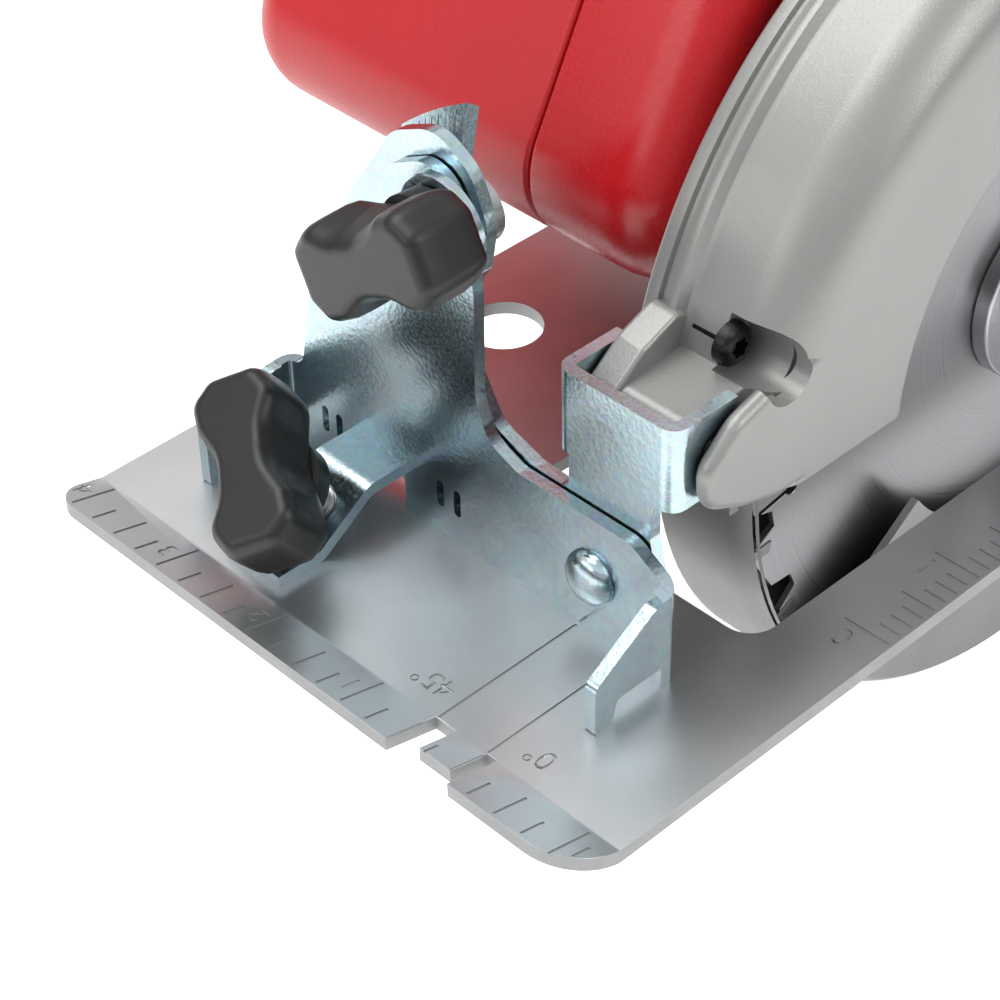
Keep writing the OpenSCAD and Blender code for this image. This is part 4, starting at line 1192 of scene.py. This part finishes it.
class SAW_OT_housing(bpy.types.Operator):
    """Gear-side housing with its soft shoulder, motor cover with its air slots, and the gear case"""
    bl_idname = "saw.housing"
    bl_label = "Housing"

    def execute(self, context):
        s = sizes()
        soft, far = s.shoulder / MM, s.end_round / MM
        wall, face = 2.6, -26        # thickness, and x of the flat face beside the guard
        outside = [(JOINT_X + 0.05, 1.0), (JOINT_X + 0.5, 0.25), (JOINT_X + 1.2, 0.0)]
        inside = [(JOINT_X - 1, wall)]
        for degrees in range(0, 91, 9):
            turn = math.radians(degrees)
            inset = soft * 0.8 * (1 - math.cos(turn))
            outside.append((face - soft + soft * math.sin(turn), inset))
            inside.append((face - soft + soft * math.sin(turn), inset + wall))
        inside.append((face + 1, soft * 0.8 + wall))
        piece("motor_housing_moulded", housing_shell(outside, inside), smooth_abs(), "saw_body",
              ("motor_housing",), smooth=40)
        end = lowest("motor_cover")[0]
        outside, inside = [], []
        for degrees in range(0, 91, 9):
            turn = math.radians(degrees)
            outside.append((end + far * (1 - math.cos(turn)), far * (1 - math.sin(turn))))
            inside.append((end + wall + (far - wall) * (1 - math.cos(turn)),
                           wall + (far - wall) * (1 - math.sin(turn))))
        outside += [(JOINT_X - 1.2, 0.0), (JOINT_X - 0.5, 0.25), (JOINT_X - 0.05, 1.0)]
        inside.append((JOINT_X + 1, wall))
        slot = slab([(9, -1.3, 1.25), (19, -1.3, 1.25), (19, 1.3, 1.25), (9, 1.3, 1.25)],
                    end - 3, end + 5, to_x, 5)
        slots = ring_of(slot, 16, 22.5, axis=MOTOR)
        rib = slab([(-2, -1.2, 1.1), (14, -1.2, 1.1), (14, 1.2, 1.1), (-2, 1.2, 1.1)], -3, 3, to_x_rotated, 5)
        ribs = row_of(rib, 7, (-126, 15.5, 40), (7.5, 0, 0))
        cover = combine(housing_shell(outside, inside), [slots, ribs], "DIFFERENCE")
        cover = bevelled(cover, 0.3, 2, 60)
        piece("motor_cover_moulded", cover, moulded_abs(), "saw_body", ("motor_cover",), smooth=40)
        carried("gear_case", painted_casting(), "saw_body", 1.2, 4)
        return {"FINISHED"}


def to_x_rotated(u, v, w):
    """Slot shapes that enter a rear face: length along Z, width along X, depth along Y."""
    return Vector((v, w, u))


# ---- handle -------------------------------------------------------------------------

HANDLE_HALF = 17                 # from the joint to each side
FOOT_Z = 88.45                   # where the handle stands on the battery mount


def handle_loop():
    """Outer line of the loop handle; its foot runs on below the battery mount and is cut off there."""
    return anticlockwise(fillet([
        (22, 62, 9), (0, 84, 12), (-20, 100, 12), (-36, 113, 10), (-31, 127, 14), (-12, 148, 30), (12, 172, 40),
        (42, 190, 40), (72, 198, 40), (100, 192, 40), (130, 170, 30), (152, 142, 30), (160, 118, 18),
        (160, 74, 10), (100, 74, 10), (64, 66, 20)], 8))


def finger_loop():
    return anticlockwise(fillet([(46, 104, 10), (36, 124, 12), (40, 142, 10), (62, 156, 14), (86, 158, 20),
                                 (104, 150, 20), (122, 130, 14), (122, 112, 8), (108, 102, 10)], 8))


def rounded_sides(outline, low, high, radius, outward, place):
    """A loft whose sides roll in at both ends; a hole's loft rolls out instead."""
    sections = [(low + radius * (1 - math.cos(math.radians(d))), radius * (1 - math.sin(math.radians(d))))
                for d in range(0, 91, 15)]
    full = sections + [(high - (w - low), inset) for w, inset in reversed(sections)]
    return loft([(w, grown(outline, outward * inset)) for w, inset in full], place)


class SAW_OT_handle(bpy.types.Operator):
    """Loop handle in two halves, with its overmoulded grips and the front grip"""
    bl_idname = "saw.handle"
    bl_label = "Handle"

    def execute(self, context):
        radius = sizes().handle_round / MM
        low, high = HANDLE_X - HANDLE_HALF, HANDLE_X + HANDLE_HALF
        outer = rounded_sides(handle_loop(), low, high, radius, -1, to_x)
        hole = rounded_sides(finger_loop(), low - 0.6, high + 0.6, radius * 0.8, 1, to_x)
        body = combine(outer, [hole], "DIFFERENCE")
        room = prism(housing(0.0), low - 5, high + 5, to_x)
        cavity = combine(rounded_sides(grown(handle_loop(), -3), low + 3, high - 3, radius - 3, -1, to_x),
                         [prism(grown(finger_loop(), 3), low, high, to_x)], "DIFFERENCE")
        foot = block((low - 5, 60, 40), (high + 5, 190, FOOT_Z))
        body = combine(body, [cavity, room, foot, block((HANDLE_X - 6.2, 42, 138), (HANDLE_X + 6.2, 67.6, 168)),
                              block((HANDLE_X - 5.2, 50, 178), (HANDLE_X + 5.2, 66, 205))], "DIFFERENCE")
        for name, side in (("left", -1), ("right", 1)):
            start, stop = (HANDLE_X, high + 9) if side > 0 else (low - 9, HANDLE_X)
            keep = block((start, -80, 0), (stop, 200, 260))
            half = bevelled(combine(body.copy(), [keep], "INTERSECT"), 0.35, 2, 45)
            piece("handle_" + name + "_moulded", half, moulded_abs(), "saw_body",
                  ("handle_" + name,), smooth=38)
        skin = rounded_sides(grown(handle_loop(), 0.5), low - 0.2, high + 0.2, radius, -1, to_x)
        palm = anticlockwise(fillet([(64, 172, 6), (88, 170, 8), (112, 154, 12), (134, 128, 14), (136, 100, 6),
                                     (170, 100), (170, 215), (64, 215)], 8))
        skin = combine(skin, [prism(palm, low - 3, high + 3, to_x),
                              block((low - 5, 40, FOOT_Z), (high + 5, 190, 230))], "INTERSECT")
        skin = combine(skin, [rounded_sides(grown(finger_loop(), 6.5), low - 2, high + 2, 2, 1, to_x)],
                       "DIFFERENCE")
        core = rounded_sides(grown(handle_loop(), -0.3), low + 0.3, high - 0.3, radius, -1, to_x)
        skin = bevelled(combine(skin, [core], "DIFFERENCE"), 0.2, 2, 45)
        piece("grip_overmould", skin, grip_rubber(), "saw_body", ("grip_pad",), smooth=38)
        front = anticlockwise(fillet([(-52, 110, 11), (-52, 124, 14), (-37, 143, 16), (-14, 143, 16),
                                      (-2, 120, 14), (-2, 76, 11), (-52, 76, 11)], 8))
        knob = rounded_sides(front, -118, -66, 10, -1, to_x)
        room = rounded_sides(grown(front, -3), -115, -69, 7, -1, to_x)
        knob = combine(knob, [room, prism(housing(0.0), -125, -60, to_x)], "DIFFERENCE")
        knob = bevelled(knob, 0.4, 2, 45)
        piece("front_grip_moulded", knob, grip_rubber(), "saw_body", ("front_grip",), smooth=38)
        return {"FINISHED"}


class SAW_OT_controls(bpy.types.Operator):
    """Trigger, lock-off and spindle-lock buttons and the depth lever"""
    bl_idname = "saw.controls"
    bl_label = "Controls"

    def execute(self, context):
        for node, body, width, segments in (
                ("trigger", "trigger_part", 1.2, 4), ("lock_off_button", "lock_off_part", 0.8, 3),
                ("spindle_lock_button", "spindle_lock_part", 0.6, 3), ("depth_lever", "depth_clamp", 1.2, 4)):
            carried(node, black_nylon(), body, width, segments)
        return {"FINISHED"}


class SAW_OT_battery(bpy.types.Operator):
    """Battery foot, slide-on pack with its latches, and the stored hex wrench"""
    bl_idname = "saw.battery"
    bl_label = "Battery"

    def execute(self, context):
        carried("battery_mount", moulded_abs(), "saw_body", 1.0, 3)
        carried("battery_case", black_nylon(), "battery", 2.2, 4)
        carried("battery_lid", moulded_abs(), "battery", 1.6, 4)
        low, high = lowest("battery_case"), highest("battery_case")
        rows = []
        for x in (high[0] - 0.5, low[0] + 0.5):
            rib = bevelled(block((-0.6, -0.8, 0), (0.6, 0.8, high[2] - low[2] - 12)), 0.3, 2)
            rows.append(row_of(rib, 9, (x, low[1] + 14, low[2] + 6), (0, 9, 0)))
        piece("battery_case_ribs", joined(*rows), black_nylon(), "battery")
        for side in ("left", "right"):
            carried("battery_latch_" + side, black_nylon(), "latch_" + side + "_part", 0.5, 3)
        carried("hex_wrench", black_oxide(), "wrench_part", 0.3, 2, 50)
        return {"FINISHED"}


class SAW_OT_screws(bpy.types.Operator):
    """Six-lobe screws of the guard and the handle"""
    bl_idname = "saw.screws"
    bl_label = "Screws"

    def execute(self, context):
        nose = joined(moved(screw_head(4.2, 2.9), (-2.9, *NOSE_SCREW)),
                      rod(*NOSE_SCREW, -10, -2.8, 1.2, to_x, 24))
        sides = [facing_left(3.9, 2.1, (GUARD_IN - 0.05, y, z)) for y, z in ((46, 86), (-8, 104))]
        piece("guard_screws_blackened", joined(nose, *sides), black_oxide(), "saw_body",
              ("guard_screws",))
        heads = [facing_left(3.5, 1.35, (HANDLE_X - 17.02, y, z))
                 for y, z in ((10, 148), (60, 88), (148, 100), (112, 176))]
        piece("housing_screws_blackened", joined(*heads), black_oxide(), "saw_body",
              ("housing_screws",))
        return {"FINISHED"}


class SAW_OT_inner_parts(bpy.types.Operator):
    """Finishes of the CAD pieces that the covers hide: gears, motor, bearings, switch and cells"""
    bl_idname = "saw.inner_parts"
    bl_label = "Inner parts"

    def execute(self, context):
        steel = machined_steel()
        plain = {key: surface(name, linear(tone), roughness, metallic, 0.4, 0.2)
                 for key, name, tone, metallic, roughness in (
                     ("copper", "turned_copper", "#B87333", 1.0, 0.3),
                     ("brass", "pressed_brass", "#B08D4B", 1.0, 0.32),
                     ("iron", "phosphated_iron", "#4A4A4C", 0.8, 0.5),
                     ("ferrite", "sintered_ferrite", "#2A2A2C", 0.1, 0.6),
                     ("wrap", "shrink_wrapped_cells", "#1F6B45", 0.0, 0.3))}
        finishes = {
            "spindle": steel, "spindle_gear": steel, "spindle_bearings": steel, "motor_bearings": steel,
            "rotor_shaft": steel, "guard_spring": steel, "commutator": plain["copper"],
            "brush_holders": plain["brass"], "motor_can": plain["iron"], "rotor_core": plain["iron"],
            "magnets": plain["ferrite"], "brushes": plain["ferrite"], "battery_cells": plain["wrap"],
            "fan": black_nylon(), "switch_module": black_nylon()}
        for node, finish in finishes.items():
            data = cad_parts[node].data
            data.materials.clear()
            data.materials.append(finish)
        return {"FINISHED"}


# ---- stage --------------------------------------------------------------------------

FLOOR_GAP = 0.0015               # metres, as are the places and sizes below
CAMERA_PLACE = (0.2427, -0.3687, 0.3305)
CAMERA_TURN = (46.83, 39.49, -1.41)      # azimuth, elevation and roll, in degrees
CAMERA_LENS = 98.1
SOFTBOXES = {                    # place, target, width, height, watts
    "key_softbox": ((-0.35, -0.25, 1.0), (0, -0.05, 0.05), 0.9, 0.6, 7),
    "side_softbox": ((1.0, 0.1, 0.75), (0, -0.05, 0.05), 0.4, 0.8, 4),
    "front_softbox": ((-0.35, -1.1, 0.55), (0, -0.1, 0.05), 0.9, 0.35, 2.2)}


class SAW_OT_stage(bpy.types.Operator):
    """White floor, soft studio light and the camera"""
    bl_idname = "saw.stage"
    bl_label = "Stage"

    def execute(self, context):
        scene = context.scene
        bm = bmesh.new()
        bmesh.ops.create_grid(bm, x_segments=1, y_segments=1, size=8)
        data = bpy.data.meshes.new("floor")
        bm.to_mesh(data)
        bm.free()
        floor = bpy.data.objects.new("floor", data)
        scene.collection.objects.link(floor)
        floor.location.z = CAD_BOX[0].z - FLOOR_GAP
        paper = bpy.data.materials.new("matt_white_paper")
        paper.use_nodes = True
        fill(paper.node_tree, paper.node_tree.nodes["Principled BSDF"], {
            "Base Color": (0.9, 0.9, 0.9, 1), "Roughness": 0.9,
            "Emission Color": (1, 1, 1, 1), "Emission Strength": 0.62})
        data.materials.append(paper)
        world = bpy.data.worlds.new("studio")
        world.use_nodes = True
        tree = world.node_tree
        way = add(tree, "ShaderNodeTexCoord").outputs["Generated"]
        height = add(tree, "ShaderNodeSeparateXYZ", {0: way}).outputs["Z"]
        ramp = add(tree, "ShaderNodeValToRGB", {"Fac": height})
        levels = ((0.0, 0.12), (0.2, 0.2), (0.36, 0.75), (0.47, 0.3), (0.6, 1.0), (1.0, 0.7))
        while len(ramp.color_ramp.elements) < len(levels):
            ramp.color_ramp.elements.new(0.5)
        for stop, (place, level) in zip(ramp.color_ramp.elements, levels):
            stop.position = place
            stop.color = (level, level, level, 1)
        bright = add(tree, "ShaderNodeMath", {0: ramp.outputs["Color"], 1: 1.2}, operation="MULTIPLY")
        fill(tree, tree.nodes["Background"], {"Strength": bright.outputs[0], "Color": (1, 1, 1, 1)})
        scene.world = world
        for name, lamp in SOFTBOXES.items():
            self.lamp(name, *lamp)
        self.camera(scene)
        scene.view_settings.view_transform = "Standard"
        return {"FINISHED"}

    @staticmethod
    def lamp(name, place, target, width, height, power):
        data = bpy.data.lights.new(name, "AREA")
        data.shape = "RECTANGLE"
        data.size = width
        data.size_y = height
        data.energy = power
        lamp = bpy.data.objects.new(name, data)
        bpy.context.scene.collection.objects.link(lamp)
        lamp.location = place
        lamp.rotation_mode = "QUATERNION"
        lamp.rotation_quaternion = (Vector(target) - Vector(place)).to_track_quat("-Z", "Y")

    @staticmethod
    def camera(scene):
        azimuth, elevation, roll = (math.radians(a) for a in CAMERA_TURN)
        back = Vector((math.sin(azimuth) * math.cos(elevation), -math.cos(azimuth) * math.cos(elevation),
                       math.sin(elevation)))
        right = (-back).cross(Vector((0, 0, 1))).normalized()
        up = back.cross(right)
        across = math.cos(roll) * right + math.sin(roll) * up
        over = -math.sin(roll) * right + math.cos(roll) * up
        data = bpy.data.cameras.new("camera")
        data.sensor_width = 36
        data.lens = CAMERA_LENS
        data.clip_start = 0.01
        camera = bpy.data.objects.new("camera", data)
        scene.collection.objects.link(camera)
        camera.matrix_world = Matrix.Translation(CAMERA_PLACE) @ Matrix(
            (across, over, back)).transposed().to_4x4()
        scene.camera = camera


OPERATORS = [SAW_OT_stage, SAW_OT_shoe, SAW_OT_front_bracket, SAW_OT_tilt_plate, SAW_OT_fasteners, SAW_OT_knobs,
             SAW_OT_upper_guard, SAW_OT_lower_guard, SAW_OT_blade, SAW_OT_housing, SAW_OT_handle,
             SAW_OT_controls, SAW_OT_battery, SAW_OT_screws, SAW_OT_inner_parts]


class SAW_PT_panel(bpy.types.Panel):
    """Lists the saw's sizes, colours and pieces"""
    bl_label = "Circular saw"
    bl_idname = "SAW_PT_panel"
    bl_space_type = "VIEW_3D"
    bl_region_type = "UI"
    bl_category = "Saw"

    def draw(self, context):
        for group in (context.scene.saw_sizes, context.scene.saw_colours):
            for key in group.__annotations__:
                self.layout.prop(group, key)
        for operator in OPERATORS:
            self.layout.operator(operator.bl_idname)


CLASSES = [SawColours, SawSizes, *OPERATORS, SAW_PT_panel]


def register():
    for cls in CLASSES:
        bpy.utils.register_class(cls)
    bpy.types.Scene.saw_colours = PointerProperty(type=SawColours)
    bpy.types.Scene.saw_sizes = PointerProperty(type=SawSizes)


def unregister():
    del bpy.types.Scene.saw_sizes
    del bpy.types.Scene.saw_colours
    for cls in reversed(CLASSES):
        bpy.utils.unregister_class(cls)


def main():
    register()
    for operator in OPERATORS:
        getattr(bpy.ops.saw, operator.bl_idname.split(".")[1])()


if __name__ == "__main__":
    main()
